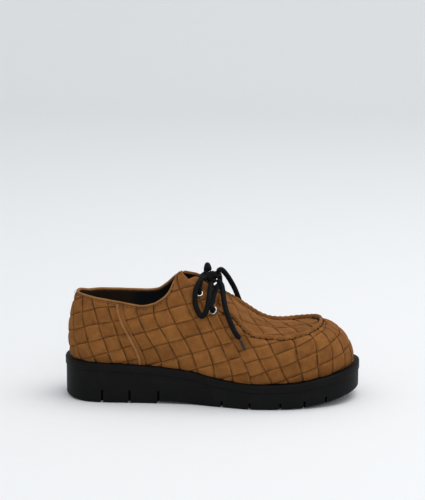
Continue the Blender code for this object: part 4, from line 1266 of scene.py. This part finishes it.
    def apron(self) -> None:
        """Make the apron over the toes: a low crown in both halves, welded along the middle line."""
        run = round_run(RunKind.TOE, QUARTER_STATION, self.spacing)
        levels = np.linspace(1, 2, self.rows(0.034))
        points = run_skin(run, levels)
        plan = points[..., :2]
        turned = np.stack([0.914 * plan[..., 0] + 0.407 * (plan[..., 1] - SHIFT) - 0.0347,
                           -0.407 * plan[..., 0] + 0.914 * (plan[..., 1] - SHIFT)], -1)
        cells = turned / self.apron_pitch
        height = self.relief * (weave_height(cells) - self.sunk)
        shell = Shell(points + UP * height[..., None], points - UP * self.cloth, cells)
        self.workshop.shell("woven_apron", shell, WOVEN, ("upper",), open_rows=(0,))

    def lining(self) -> None:
        """Make the lining: the inner half of the wall, from one side round the heel to the other."""
        run = round_run(RunKind.HEEL, TONGUE_FRONT_STATION, 0.0020)
        levels = np.linspace(0, 1, 40)
        points, normals = run_skin(run, levels), run_normals(run, levels)
        shell = Shell(points + normals * (QUARTER_STEP - self.cloth - 0.0006),
                      points - normals * (WALL - 0.1 * GAP), None)
        self.workshop.shell("lining", shell, LINING, ("upper",))

    def build(self) -> None:
        """Make every panel of the upper."""
        self.heel_panel()
        self.quarters()
        self.vamp()
        self.apron()
        self.lining()


@dataclass
class ToeSeam:
    """The raised puckered seam between vamp and apron, with its stitches and a painted shadow line along each
    side.
    """

    workshop: Workshop
    pucker: float = 0.00575
    spacing: float = 0.00045
    thread: float = 0.00046
    shadow_line_radius: float = 0.00040
    shadow_line_lift: float = 0.0001

    def line(self) -> tuple[np.ndarray, np.ndarray, np.ndarray]:
        """Path round the toe with the direction off the skin and the one across, out to the vamp."""
        run = round_run(RunKind.TOE, APRON_STATION, 0.0010)
        path = run_skin(run, np.array([1.0]))[0]
        normal = run_normals(run, np.array([0.985]))[0]
        place = spaced(path, self.spacing)
        length = np.concatenate([[0], np.cumsum(np.linalg.norm(np.diff(path, axis=0), axis=1))])
        even = np.linspace(0, length[-1], len(place))
        up = unit(np.stack([np.interp(even, length, normal[:, i]) for i in range(3)], -1) + 0.9 * UP)
        across = unit(np.cross(up, np.gradient(place, axis=0)))
        outward_way = place - place.mean(0)
        across *= np.sign(np.sum(across * outward_way, -1).sum())
        up = unit(np.cross(np.gradient(place, axis=0), across))
        up *= np.sign(up[len(up) // 2, 2])
        return place, up, across

    def build(self) -> None:
        """Make the ridge, the stitches over it, and on the vamp and apron sides a thin dark tube beside it as a
        painted shadow line.
        """
        path, up, across = self.line()
        length = self.spacing * np.arange(len(path))
        swell = np.abs(np.sin(math.pi * length / self.pucker)) ** 0.8
        half = SEAM_WIDTH / 2 * (1.08 + 0.14 * swell)
        tall = SEAM_HEIGHT * (0.92 + 0.12 * swell)
        angles = np.linspace(0, 2 * math.pi, 21)[:-1]
        side = np.sign(np.cos(angles)) * np.abs(np.cos(angles)) ** 0.8
        rise = np.where(np.sin(angles) > 0, np.sin(angles), 0.35 * np.sin(angles))
        rings = (path[:, None] + across[:, None] * (half[:, None] * side)[..., None]
                 + up[:, None] * (tall[:, None] * rise)[..., None])
        self.workshop.swept("toe_seam", rings, SUEDE, ("upper",))
        # Thin tubes in the dark thread colour just beside the ridge: painted shadow lines.
        for name, way in (("vamp", 1.0), ("apron", -1.0)):
            beside = path + way * across * 1.22 * half[:, None] + up * self.shadow_line_lift
            self.workshop.swept(f"toe_seam_shadow_line_{name}", tube_rings(beside, np.full(len(path), self.shadow_line_radius), 8),
                                THREAD_AND_SHADOW_LINE)
        number = np.arange(1, int(length[-1] / self.pucker))
        at = np.round(number * self.pucker / self.spacing).astype(int)
        for name, way in (("vamp", 1.0), ("apron", -1.0)):
            low = path[at] + way * across[at] * 1.40 * half[at, None] - up[at] * 0.0002
            high = path[at] + way * across[at] * 1.02 * half[at, None] + up[at] * 0.42 * tall[at, None]
            stitches(self.workshop, f"toe_seam_stitches_{name}", low, high, unit(way * across[at] + up[at]),
                     0.0004, self.thread)


def stitches(workshop: Workshop, name: str, start: np.ndarray, end: np.ndarray, lift_way: np.ndarray,
             lift: float, radius: float) -> bpy.types.Object:
    """Make a row of stitches as one piece: each a short tube that bows off the surface and tapers.

    Args:
        workshop: Where the piece is made.
        name: The piece's name.
        start: Start of each stitch.
        end: End of each stitch.
        lift_way: Direction in which each bows.
        lift: How far it bows.
        radius: Its thread's radius.

    Returns:
        The object.
    """
    share = np.linspace(0, 1, 6)[None, :, None]
    line = start[:, None] * (1 - share) + end[:, None] * share
    line = line + lift_way[:, None] * lift * np.sin(math.pi * share)
    way = unit(end - start)
    across = unit(np.cross(way, lift_way))
    upward = np.cross(across, way)
    angles = np.linspace(0, 2 * math.pi, 7)[:-1]
    ring = (across[:, None, None] * np.cos(angles)[None, None, :, None]
            + upward[:, None, None] * np.sin(angles)[None, None, :, None])
    girth = radius * (0.45 + 0.55 * np.sin(math.pi * np.linspace(0.08, 0.92, 6)))[None, :, None, None]
    rings = line[:, :, None] + ring * girth
    meshes = [ring_mesh(one) for one in rings]
    count = len(meshes[0][0])
    points = np.vstack([points for points, _ in meshes])
    faces = np.vstack([faces + i * count for i, (_, faces) in enumerate(meshes)])
    return workshop.piece(name, points, faces, THREAD_AND_SHADOW_LINE)


@dataclass
class Trims:
    """Collar binding, heel pipings, cut edges of the facings and the tongue."""

    workshop: Workshop
    spacing: float = 0.0008
    strap_stations: float = 0.0212

    def binding(self) -> None:
        """Make the bead round the collar: an oval carried along the edge from corner to corner."""
        run = round_run(RunKind.HEEL, CORNER_STATION, self.spacing)
        edge = run_skin(run, np.array([1.0]))[0]
        normal = run_normals(run, np.array([1.0]))[0]
        rise = np.cross(normal, np.gradient(edge, axis=0))
        rise = unit(rise) * np.sign(rise[len(rise) // 2, 2])
        path = edge + normal * (QUARTER_STEP - WALL / 2) + rise * (BINDING_HEIGHT / 2 + GAP)
        angles = np.linspace(0, 2 * math.pi, 25)[:-1]
        width = BINDING_WIDTH / 2 * np.sign(np.cos(angles)) * np.abs(np.cos(angles)) ** 0.75
        height = BINDING_HEIGHT / 2 * np.sin(angles)
        rings = (path[:, None] + normal[:, None] * width[None, :, None]
                 + rise[:, None] * height[None, :, None])
        self.workshop.swept("collar_bead", rings, CUT_EDGE, ("collar_binding",))
        at = np.arange(4, len(path) - 8, 5)
        seam = edge + normal * (QUARTER_STEP + 0.0006) - rise * 0.0017
        stitches(self.workshop, "collar_stitches", seam[at], seam[at + 3], normal[at], 0.0002, 0.00024)

    def pipings(self) -> None:
        """Make the two raised seams down the heel, each a fine cord of suede, and ahead of each a thin dark tube
        along the strap's front edge as a painted shadow line.
        """
        levels = np.linspace(0.005, 0.985, 130)
        for name, side in SIDES.items():
            lift = QUARTER_STEP + 0.9 * PIPING_RADIUS
            path = skin(PIPING_STATION, levels, side) + skin_normal(PIPING_STATION, levels, side) * lift
            rings = tube_rings(path, np.full(len(path), 1.05 * PIPING_RADIUS), 16)
            self.workshop.swept(f"heel_piping_seam_{name}", rings, CUT_EDGE, (f"heel_piping_{name}",))
            # Thin tube in the dark thread colour along the strap's front edge: a painted shadow line.
            ahead = PIPING_STATION + self.strap_stations
            line = skin(ahead, levels, side) + skin_normal(ahead, levels, side) * (QUARTER_STEP - 0.0006)
            self.workshop.swept(f"strap_edge_shadow_{name}", tube_rings(line, np.full(len(line), 0.0004), 8), THREAD_AND_SHADOW_LINE)

    def facing_edges(self) -> None:
        """Make the pale cut edges of the two facings, from the collar's corner to the toe seam."""
        for name, side in SIDES.items():
            run = foot_run(CORNER_STATION, APRON_STATION, side, 0.0005)
            edge = skin(run.station, 1.0, side)
            normal = skin_normal(run.station, 0.995 + 0 * run.station, side)
            path = edge + normal * (QUARTER_STEP - 0.45 * WALL)
            rings = tube_rings(path, np.full(len(path), 0.00085), 12)
            self.workshop.swept(f"facing_edge_{name}", rings, CUT_EDGE, ("upper",))

    def tongue(self) -> None:
        """Make the tongue: a bowed sheet that starts under the apron and runs up under both facings."""
        wing = np.linspace(0.80, 1.0, 20)
        crown = np.linspace(1.0, 2.0, 44)
        levels = np.concatenate([wing, crown[1:]])
        across = [(level, LATERAL) for level in levels] + [(level, MEDIAL) for level in levels[-2::-1]]
        back = np.linspace(TONGUE_BACK_STATION, TONGUE_BACK_STATION + 0.040, len(across))
        depth = WALL + 4 * GAP
        grids: list[list[np.ndarray]] = [[], []]
        share = np.linspace(0, 1, 90)
        for i, (level, side) in enumerate(across):
            run = back[i] + (TONGUE_FRONT_STATION - back[i]) * share
            points, normal = skin(run, level, side), skin_normal(run, level, side)
            rim = min(i, len(across) - 1 - i) / 6.0
            thin = TONGUE_THICKNESS * 0.5 * (1 - min(rim, 1.0)) ** 2
            ends = TONGUE_THICKNESS * 0.5 * (1 - np.clip(share * 30, 0, 1)) ** 2
            soft = np.maximum(thin, ends)[:, None]
            grids[0].append(points - normal * (depth + soft))
            grids[1].append(points - normal * (depth + TONGUE_THICKNESS - soft))
        shell = Shell(np.array(grids[0]), np.array(grids[1]), None)
        self.workshop.shell("suede_tongue", shell, SUEDE, ("tongue",))

    def build(self) -> None:
        """Make every trim."""
        self.binding()
        self.pipings()
        self.facing_edges()
        self.tongue()


def tube_rings(path: np.ndarray, radius: np.ndarray, count: int) -> np.ndarray:
    """Rings of a round tube along a path, with a radius for each point, its ends rounded off.

    Args:
        path: Points.
        radius: Radius at each point, or at each point and angle.
        count: How many points a ring has.

    Returns:
        The rings.
    """
    across, upward = path_frames(path, np.array([0.31, 0.17, 0.93]))
    angles = np.linspace(0, 2 * math.pi, count + 1)[:-1]
    radius = radius if radius.ndim == 2 else radius[:, None] * np.ones(count)[None, :]
    length = np.concatenate([[0], np.cumsum(np.linalg.norm(np.diff(path, axis=0), axis=1))])
    from_end = np.minimum(length, length[-1] - length)
    girth = radius.mean()
    closing = np.sqrt(1 - (1 - np.clip(from_end / girth, 0.02, 1)) ** 2)
    ring = (across[:, None] * np.cos(angles)[None, :, None] + upward[:, None] * np.sin(angles)[None, :, None])
    return path[:, None] + ring * (radius * closing[:, None])[..., None]


@dataclass
class Lacing:
    """Braided lace: bars through the eyelets, knot, loops, ends and tips."""

    workshop: Workshop
    radius: float = 0.0027
    threaded_radius: float = 0.0024
    spacing: float = 0.00030
    strands: int = 6
    braid_pitch: float = 0.0050
    braid_depth: float = 0.13

    def braided(self, path: np.ndarray, radius: float) -> np.ndarray:
        """Rings of a braided cord: its radius rises and falls in diamonds along and round it.

        Args:
            path: Evenly spaced points.
            radius: The cord's full radius.

        Returns:
            The rings.
        """
        count = 36
        angles = np.linspace(0, 2 * math.pi, count + 1)[:-1][None, :]
        length = np.concatenate([[0], np.cumsum(np.linalg.norm(np.diff(path, axis=0), axis=1))])[:, None]
        turn = 2 * math.pi * length / self.braid_pitch * self.strands / 2
        half = self.strands * angles / 1.0
        first, second = np.abs(np.sin((half + turn) / 2)), np.abs(np.sin((half - turn) / 2))
        plump = 1 - self.braid_depth * (1 - np.maximum(first, second) * (0.5 + 0.5 * np.minimum(first, second)))
        return tube_rings(path, radius * plump, count)

    def bar_half(self, kind: str, side: int) -> list[np.ndarray]:
        """Run of the lace out of one eyelet, over the facing's edge and up to the middle of the tongue.

        Args:
            kind: Upper or lower eyelet.
            side: Lateral or medial.

        Returns:
            Points of the route.
        """
        place, normal, way = eyelet_seat(kind, side)
        top = EYELET_HEIGHT + GAP
        turns = np.linspace(0, math.pi / 2, 5)
        points = [place - normal * 0.5 * WALL]
        points += [place + normal * (top + LACE_BEND * math.sin(a)) + way * LACE_BEND * (1 - math.cos(a))
                   for a in turns]
        station, inset = EYELETS[kind]
        edge_lift = QUARTER_STEP + LACE_RADIUS + 2 * GAP
        for left, share in ((0.45, 0.4), (0.15, 0.1)):
            level = level_at(station, side, left * inset)
            lift = edge_lift + share * (top + LACE_BEND - LACE_RADIUS)
            points.append(skin(station, level, side) + skin_normal(station, level, side) * lift)
        low_lift = LACE_RADIUS + 3 * GAP - WALL
        for w in (0.12, 0.35, 0.6, 0.8):
            ease = min(max((w - 0.12) / 0.6, 0), 1)
            lift = edge_lift + (low_lift - edge_lift) * ease * ease * (3 - 2 * ease)
            points.append(skin(station, 1 + w, side) + skin_normal(station, 1 + w, side) * lift)
        return points

    def bars(self) -> None:
        """Make the two bars that cross the tongue from eyelet to eyelet."""
        low_lift = LACE_RADIUS + 3 * GAP - WALL
        for kind, eyelet in EYELETS.items():
            middle = crest_line(np.array(eyelet.station)) + UP * low_lift
            points = self.bar_half(kind, LATERAL) + [middle] + self.bar_half(kind, MEDIAL)[::-1]
            path = smooth_route(points, self.spacing)
            self.workshop.swept(f"lace_crossing_{kind}", self.braided(path, self.threaded_radius), CORD,
                                (f"lace_bar_{kind}",))

    def knot(self) -> None:
        """Make the knot: a band wrapped round the crossing of the loops, and the crossing inside it."""
        centre = np.array(KNOT_PLACE)
        angles = np.linspace(0, 2 * math.pi, 80)
        forward = unit(np.array([0.80, 0.10, -0.35]))
        sideways = unit(np.cross(forward, np.array([-0.15, 0.45, 0.9])))
        upward = np.cross(sideways, forward)
        wrap = (centre + forward * (3.6 * np.cos(angles))[:, None] * 1e-3
                + upward * (3.9 * np.sin(angles))[:, None] * 1e-3
                + sideways * (0.9 * np.sin(angles / 2))[:, None] * 1e-3)
        share = np.linspace(-1, 1, 60)
        through = (centre + sideways * (4.0 * share)[:, None] * 1e-3
                   + upward * (1.4 * np.sin(2.4 * share))[:, None] * 1e-3)
        cross = (centre - sideways * (3.6 * share)[:, None] * 1e-3
                 + forward * (2.6 * share)[:, None] * 1e-3 - upward * (1.6 * np.cos(share))[:, None] * 1e-3)
        for name, path in (("wrap", wrap), ("through", through), ("crossing", cross)):
            rings = self.braided(spaced(path, self.spacing), self.radius)
            self.workshop.swept(f"knot_{name}", rings, CORD, ("lace_knot",))

    def tips(self) -> dict[str, bpy.types.Object]:
        """Make the dark sleeves on the lace's ends, pinched where they grip it.

        Returns:
            The tips by side.
        """
        made = {}
        for name, route in TIP_ROUTES.items():
            path = smooth_route(route, self.spacing)
            length = np.linspace(0, 1, len(path))
            girth = TIP_RADIUS * (1.0 + 0.10 * np.exp(-(length / 0.06) ** 2)
                                  + 0.07 * np.exp(-((length - 0.94) / 0.05) ** 2))
            made[name] = self.workshop.swept(f"tip_sleeve_{name}", tube_rings(path, girth, 24), TIP,
                                             (f"lace_tip_{name}",))
        return made

    def free(self) -> None:
        """Make the tips, then the loops and ends that leave the knot."""
        tips = self.tips()
        for name, route in LACE_ROUTES.items():
            path = smooth_route(route, self.spacing)
            made = self.workshop.swept(f"braided_{name}", self.braided(path, self.radius), CORD, (name,))

    def build(self) -> None:
        """Make the whole lace."""
        self.bars()
        self.knot()
        self.free()


@dataclass
class Eyelets:
    """The four metal eyelets."""

    workshop: Workshop
    count: int = 48

    def build(self) -> None:
        """Turn a rounded flange with its barrel about each eyelet's own axis."""
        hole, flange = EYELET_HOLE_RADIUS, EYELET_FLANGE_RADIUS
        barrel = hole + EYELET_BARREL_WALL
        bend = np.linspace(math.pi, 0, 13)
        middle, half = (hole + flange) / 2, (flange - hole) / 2
        roll = [(middle + half * math.cos(a), GAP + EYELET_HEIGHT * math.sin(a)) for a in bend]
        profile = np.array([(hole, -WALL)] + roll + [(flange, GAP), (barrel, GAP), (barrel, -WALL)])
        angles = np.linspace(0, 2 * math.pi, self.count + 1)
        for kind in EYELETS:
            for name, side in SIDES.items():
                place, normal, way = eyelet_seat(kind, side)
                third = np.cross(normal, way)
                spoke = way * np.cos(angles)[:, None] + third * np.sin(angles)[:, None]
                grid = (place + profile[:, None, :1] * spoke[None] + profile[:, None, 1:] * normal)
                grid = np.concatenate([grid, grid[:1]])
                number = np.arange(grid.shape[0] * grid.shape[1]).reshape(grid.shape[:2])
                self.workshop.piece(f"rolled_eyelet_{kind}_{name}", grid.reshape(-1, 3), quads(number), METAL,
                                    (f"eyelet_{kind}_{name}",))


@dataclass
class Sole:
    """Outsole with its slots, arch and tread, the band over it and the insole."""

    workshop: Workshop
    frame: dict
    columns: int = 240
    edge_radius: float = 0.0014
    flare: float = 0.0012
    flare_height: float = 0.0030

    def slab(self, rows: list[tuple], columns: int) -> tuple[np.ndarray, np.ndarray]:
        """Layer of the sole: its outline at each row's inset and height, with level strips closing it.

        Args:
            rows: Pairs of an inset and a function from x to height, from the bottom up.
            columns: How many columns a side has.

        Returns:
            Vertices and faces.
        """
        stations = 0.5 - 0.5 * np.cos(np.linspace(0, math.pi, columns))
        sides = []
        for side in SIDES.values():
            lines = []
            for inset, height in rows:
                x, y = sole_edge(stations, side, inset)
                lines.append(np.stack([x, y, height(x)], -1))
            sides.append(np.array(lines))
        number = np.arange(len(rows) * columns).reshape(len(rows), columns)
        other = number + number.size
        faces = [quads(number), quads(other), strip(number[0], other[0]), strip(number[-1], other[-1])]
        return np.vstack([side.reshape(-1, 3) for side in sides]), np.vstack(faces)

    def rounded(self, inset: float, bottom, top, low: float, high: float) -> list[tuple]:
        """Rows of a slab whose lower and upper edges are quarter rounds.

        Args:
            inset: Inset of its wall.
            bottom: Function from x to the height of its underside.
            top: Function from x to the height of its top.
            low: Radius of the lower edge, or 0.
            high: Radius of the upper edge, or 0.

        Returns:
            Pairs of an inset and a height function.
        """
        turn = np.linspace(0, math.pi / 2, 6)
        rows = []
        for a in turn if low else turn[:1]:
            rows.append((inset + low * (1 - math.sin(a)),
                         lambda x, a=a: bottom(x) + low * (1 - math.cos(a))))
        for a in turn if high else turn[:1]:
            rows.append((inset + high * (1 - math.cos(a)),
                         lambda x, a=a: top(x) - high * (1 - math.sin(a))))
        return rows

    def cutter(self, name: str, points: np.ndarray, faces: list, group: bpy.types.Collection) -> bpy.types.Object:
        """Put a closed cutting mesh into a group, with its faces outwards."""
        mesh = bpy.data.meshes.new(name)
        mesh.from_pydata(points.tolist(), [], [list(face) for face in faces])
        shape = bmesh.new()
        shape.from_mesh(mesh)
        bmesh.ops.remove_doubles(shape, verts=shape.verts, dist=1e-6)
        bmesh.ops.dissolve_degenerate(shape, edges=shape.edges, dist=1e-7)
        bmesh.ops.recalc_face_normals(shape, faces=shape.faces)
        shape.to_mesh(mesh)
        shape.free()
        thing = bpy.data.objects.new(name, mesh)
        group.objects.link(thing)
        return thing

    def prism(self, name: str, profile: np.ndarray, start: np.ndarray, end: np.ndarray,
              group: bpy.types.Collection) -> None:
        """Cutter with one profile, carried from one end to the other.

        Args:
            name: Its name.
            profile: Points (across, up).
            start: Origin, across and up vectors at one end, as rows.
            end: The same at the other end.
            group: Where it goes.
        """
        ends = [origin + profile[:, :1] * across + profile[:, 1:] * up for origin, across, up in (start, end)]
        count = len(profile)
        faces = [(i, (i + 1) % count, (i + 1) % count + count, i + count) for i in range(count)]
        faces += [tuple(range(count)), tuple(range(count, 2 * count))]
        self.cutter(name, np.vstack(ends), faces, group)

    def slots(self, group: bpy.types.Collection) -> None:
        """Cutters of the edge slots: narrow, with a flare at the foot that leaves a chamfer."""
        places = [(at, side, HEEL_SLOT_HEIGHT) for at in HEEL_SLOTS for side in SIDES.values()]
        places += [(at, side, TOE_SLOT_HEIGHT) for at in TOE_SLOTS for side in SIDES.values()]
        places += [(0.0, MEDIAL, HEEL_SLOT_HEIGHT), (1.0, MEDIAL, TOE_SLOT_HEIGHT)]
        half = SLOT_WIDTH / 2
        for number, (at, side, height) in enumerate(places):
            x, y = sole_edge(at, side, BAND_STEP)
            out = outward(np.array(at), side)
            place = np.array([float(x), float(y), float(sole_height("bottom", x))])
            across = np.array([out[1], -out[0], 0.0])
            across *= np.sign(across[0]) if abs(across[0]) > 0.1 else 1.0
            profile = np.array([(-half - 2 * self.flare, -self.flare_height), (half, -self.flare_height),
                                (half, height), (-half, height), (-half, self.flare_height)])
            ends = [(place + out * reach, across, UP) for reach in (-SLOT_REACH, SLOT_REACH)]
            self.prism(f"slot_{number}", profile, *ends, group)

    def arch(self, group: bpy.types.Collection) -> None:
        """Cutter of the waist's hollow: steep at the heel's breast, running out before the ball."""
        share = np.linspace(0, 1, 24)
        x = ((BREAST + (ARCH_END - BREAST) * share) - 0.5) * SOLE_LENGTH
        roof = sole_height("bottom", x) + WAIST_LIFT * (1 - share**1.5)
        profile = np.vstack([np.stack([x, roof], -1), [(x[-1], -BALL_STACK), (x[0], -BALL_STACK)]])
        ahead = np.array([1.0, 0.0, 0.0])
        ends = [(np.array([0.0, y, 0.0]), ahead, UP) for y in (-BALL_WIDTH, BALL_WIDTH)]
        self.prism("arch", profile, *ends, group)

    def tread(self, group: bpy.types.Collection) -> None:
        """Cutter of the hollow inside the tread's border, less the waist and the lugs left standing."""
        rows = [(TREAD_BORDER, lambda x: np.full_like(x, -BALL_STACK)),
                (TREAD_BORDER, lambda x: sole_height("bottom", x) + TREAD_DEPTH)]
        points, faces = self.slab(rows, 90)
        hollow = self.cutter("tread", points, faces.tolist(), group)
        lugs = bpy.data.collections.new("lugs")
        bpy.context.scene.collection.children.link(lugs)
        square = np.array([(-0.5, -0.5), (0.5, -0.5), (0.5, 0.5), (-0.5, 0.5)])
        waist = (TOE_SLOTS[0] - BREAST) * SOLE_LENGTH + SLOT_REACH
        middle = ((TOE_SLOTS[0] + BREAST) / 2 - 0.5) * SOLE_LENGTH
        blocks = [(middle, 0.0, waist, BALL_WIDTH, 0.0)]
        blocks += [((at - 0.5) * SOLE_LENGTH, 0.0, LUG_LENGTH, LUG_WIDTH, 0.0) for at in HEEL_LUGS]
        for at in TOE_LUGS:
            centre = float(read(SOLE_ROWS, "centre", at)) + SHIFT
            blocks += [((at - 0.5) * SOLE_LENGTH, centre + side * LUG_SPREAD, LUG_LENGTH, LUG_WIDTH,
                        side * LUG_TURN) for side in SIDES.values()]
        for number, (x, y, long, wide, turn) in enumerate(blocks):
            along = np.array([math.cos(turn), math.sin(turn), 0.0]) * long
            aside = np.array([-math.sin(turn), math.cos(turn), 0.0]) * wide
            ends = [(np.array([x, y, z]), along, aside) for z in (-2 * BALL_STACK, 2 * BALL_STACK)]
            self.prism(f"lug_{number}", square, *ends, lugs)
        self.change(hollow, lugs)

    def change(self, thing: bpy.types.Object, group: bpy.types.Collection) -> None:
        """Take a group of cutters out of a mesh for good, and remove them."""
        change = thing.modifiers.new("cut", "BOOLEAN")
        change.operation = "DIFFERENCE"
        change.operand_type = "COLLECTION"
        change.collection = group
        change.solver = "EXACT"
        depsgraph = bpy.context.evaluated_depsgraph_get()
        mesh = bpy.data.meshes.new_from_object(thing.evaluated_get(depsgraph))
        thing.modifiers.remove(change)
        thing.data = mesh
        for cutter in list(group.objects):
            bpy.data.objects.remove(cutter)
        bpy.data.collections.remove(group)

    def build(self) -> None:
        """Make the outsole and the band, and dress the insole."""
        def seam(x: np.ndarray) -> np.ndarray:
            """Height of the underside of the band."""
            return sole_height("top", x) - BAND_THICKNESS

        rows = self.rounded(BAND_STEP, lambda x: sole_height("bottom", x), lambda x: seam(x) - GAP,
                            self.edge_radius, 0.0)
        outsole = self.workshop.piece("treaded_outsole", *self.slab(rows, self.columns), RUBBER, ("outsole",),
                                      sharp=30.0)
        cuts = bpy.data.collections.new("sole_cuts")
        bpy.context.scene.collection.children.link(cuts)
        self.slots(cuts)
        self.arch(cuts)
        self.tread(cuts)
        self.change(outsole, cuts)
        outsole.data.shade_smooth()
        outsole.data.set_sharp_from_angle(angle=math.radians(30.0))
        band = self.rounded(0.0, seam, lambda x: sole_height("top", x), 0.0004, self.edge_radius)
        self.workshop.piece("sole_band", *self.slab(band, self.columns), RUBBER, ("midsole",), sharp=30.0)
        insole = self.frame["nodes"]["insole"]
        insole.data.materials.clear()
        insole.data.materials.append(self.workshop.surface(LINING))
        LOG.info("insole: dressed")


@dataclass
class Studio:
    """Floor, light and camera."""

    workshop: Workshop
    azimuth: float = 3.2
    elevation: float = 16.0
    distance: float = 2.2
    metres_per_pixel: float = 0.001011
    frame_width: int = 425
    frame_height: int = 500
    anchor_column: float = 212.2
    anchor_row: float = 393.7
    sensor: float = 36.0

    def floor(self) -> None:
        """Make the floor and the backdrop that it runs up into, as one sheet with some thickness."""
        turn = np.linspace(0, math.pi / 2, 24)
        radius, back, high = 0.9, 1.9, 3.2
        y = np.concatenate([[-4.0, -1.0, 0.0], back + radius * np.sin(turn), [back + radius]])
        z = np.concatenate([[0.0, 0.0, 0.0], radius - radius * np.cos(turn), [high]])
        x = np.linspace(-4.5, 4.5, 19)
        grid = np.stack([np.broadcast_to(x[None, :], (len(y), len(x))),
                         np.broadcast_to(y[:, None], (len(y), len(x))),
                         np.broadcast_to(z[:, None], (len(y), len(x)))], -1)
        self.workshop.shell("floor", Shell(grid, grid + np.array([0.0, 0.01, -0.01]), None), PAPER)

    def lamp(self, name: str, place: tuple, aim: tuple, size: float, power: float, colour: tuple) -> None:
        """Make a soft square lamp.

        Args:
            name: Its name.
            place: Where it stands.
            aim: The point it faces.
            size: Its edge.
            power: Its watts.
            colour: Its colour.
        """
        light = bpy.data.lights.new(name, "AREA")
        light.size = size
        light.energy = power
        light.color = colour
        lamp = bpy.data.objects.new(name, light)
        lamp.location = place
        lamp.rotation_euler = (Vector(aim) - Vector(place)).to_track_quat("-Z", "Y").to_euler()
        bpy.context.scene.collection.objects.link(lamp)

    def lights(self) -> None:
        """Make an overcast room: an even sky, a broad lamp overhead and a weak one from the front left."""
        world = bpy.data.worlds.new("pale_room")
        world.use_nodes = True
        sky = world.node_tree.nodes["Background"]
        sky.inputs["Color"].default_value = (0.96, 0.98, 1.0, 1.0)
        sky.inputs["Strength"].default_value = 0.78
        bpy.context.scene.world = world
        bpy.context.scene.view_settings.view_transform = "Standard"
        self.lamp("overhead", (0.7, 0.1, 2.0), (0.0, 0.0, 0.0), 1.6, 21.0, (1.0, 0.99, 0.98))
        self.lamp("front", (0.5, -2.4, 1.3), (0.0, 0.0, 0.05), 1.6, 8.0, (1.0, 0.99, 0.97))

    def camera(self) -> None:
        """Stand the camera so that the middle of the sole's floor line falls on its pixel."""
        a, e = math.radians(self.azimuth), math.radians(self.elevation)
        focal = self.distance / self.metres_per_pixel
        back = np.array([math.sin(a) * math.cos(e), -math.cos(a) * math.cos(e), math.sin(e)])
        ray = unit(np.array([(self.anchor_column - self.frame_width / 2) / focal,
                             (self.frame_height / 2 - self.anchor_row) / focal, 1.0]))
        span = math.hypot(ray[1], ray[2])
        pitch = math.asin(math.sin(e) / span) + math.atan2(ray[1], ray[2])
        ahead = ray[1] * math.sin(pitch) + ray[2] * math.cos(pitch)
        turn = -a - math.atan2(ray[0], ahead)
        level = np.array([math.sin(turn), math.cos(turn), 0.0])
        right = np.array([math.cos(turn), -math.sin(turn), 0.0])
        forward = level * math.cos(pitch) - UP * math.sin(pitch)
        upward = level * math.sin(pitch) + UP * math.cos(pitch)
        place = np.array([0.0, SHIFT, 0.0]) + back * self.distance
        eye = bpy.data.cameras.new("eye")
        eye.sensor_fit = "VERTICAL"
        eye.sensor_height = self.sensor
        eye.lens = focal / self.frame_height * self.sensor
        eye.clip_end = 50.0
        camera = bpy.data.objects.new("eye", eye)
        camera.matrix_world = Matrix([[*row, place[i]] for i, row in
                                      enumerate(np.stack([right, upward, -forward], -1).tolist())]
                                     + [[0.0, 0.0, 0.0, 1.0]])
        bpy.context.scene.collection.objects.link(camera)
        bpy.context.scene.camera = camera

    def build(self) -> None:
        """Make the whole set."""
        self.floor()
        self.lights()
        self.camera()


def main() -> None:
    """Build every piece round the frame."""
    logging.basicConfig(level=logging.INFO, format="%(name)s: %(message)s")
    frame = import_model()
    workshop = Workshop()
    Studio(workshop).build()
    Sole(workshop, frame).build()
    WovenUpper(workshop).build()
    ToeSeam(workshop).build()
    Trims(workshop).build()
    Eyelets(workshop).build()
    Lacing(workshop).build()


if __name__ == "__main__":
    main()
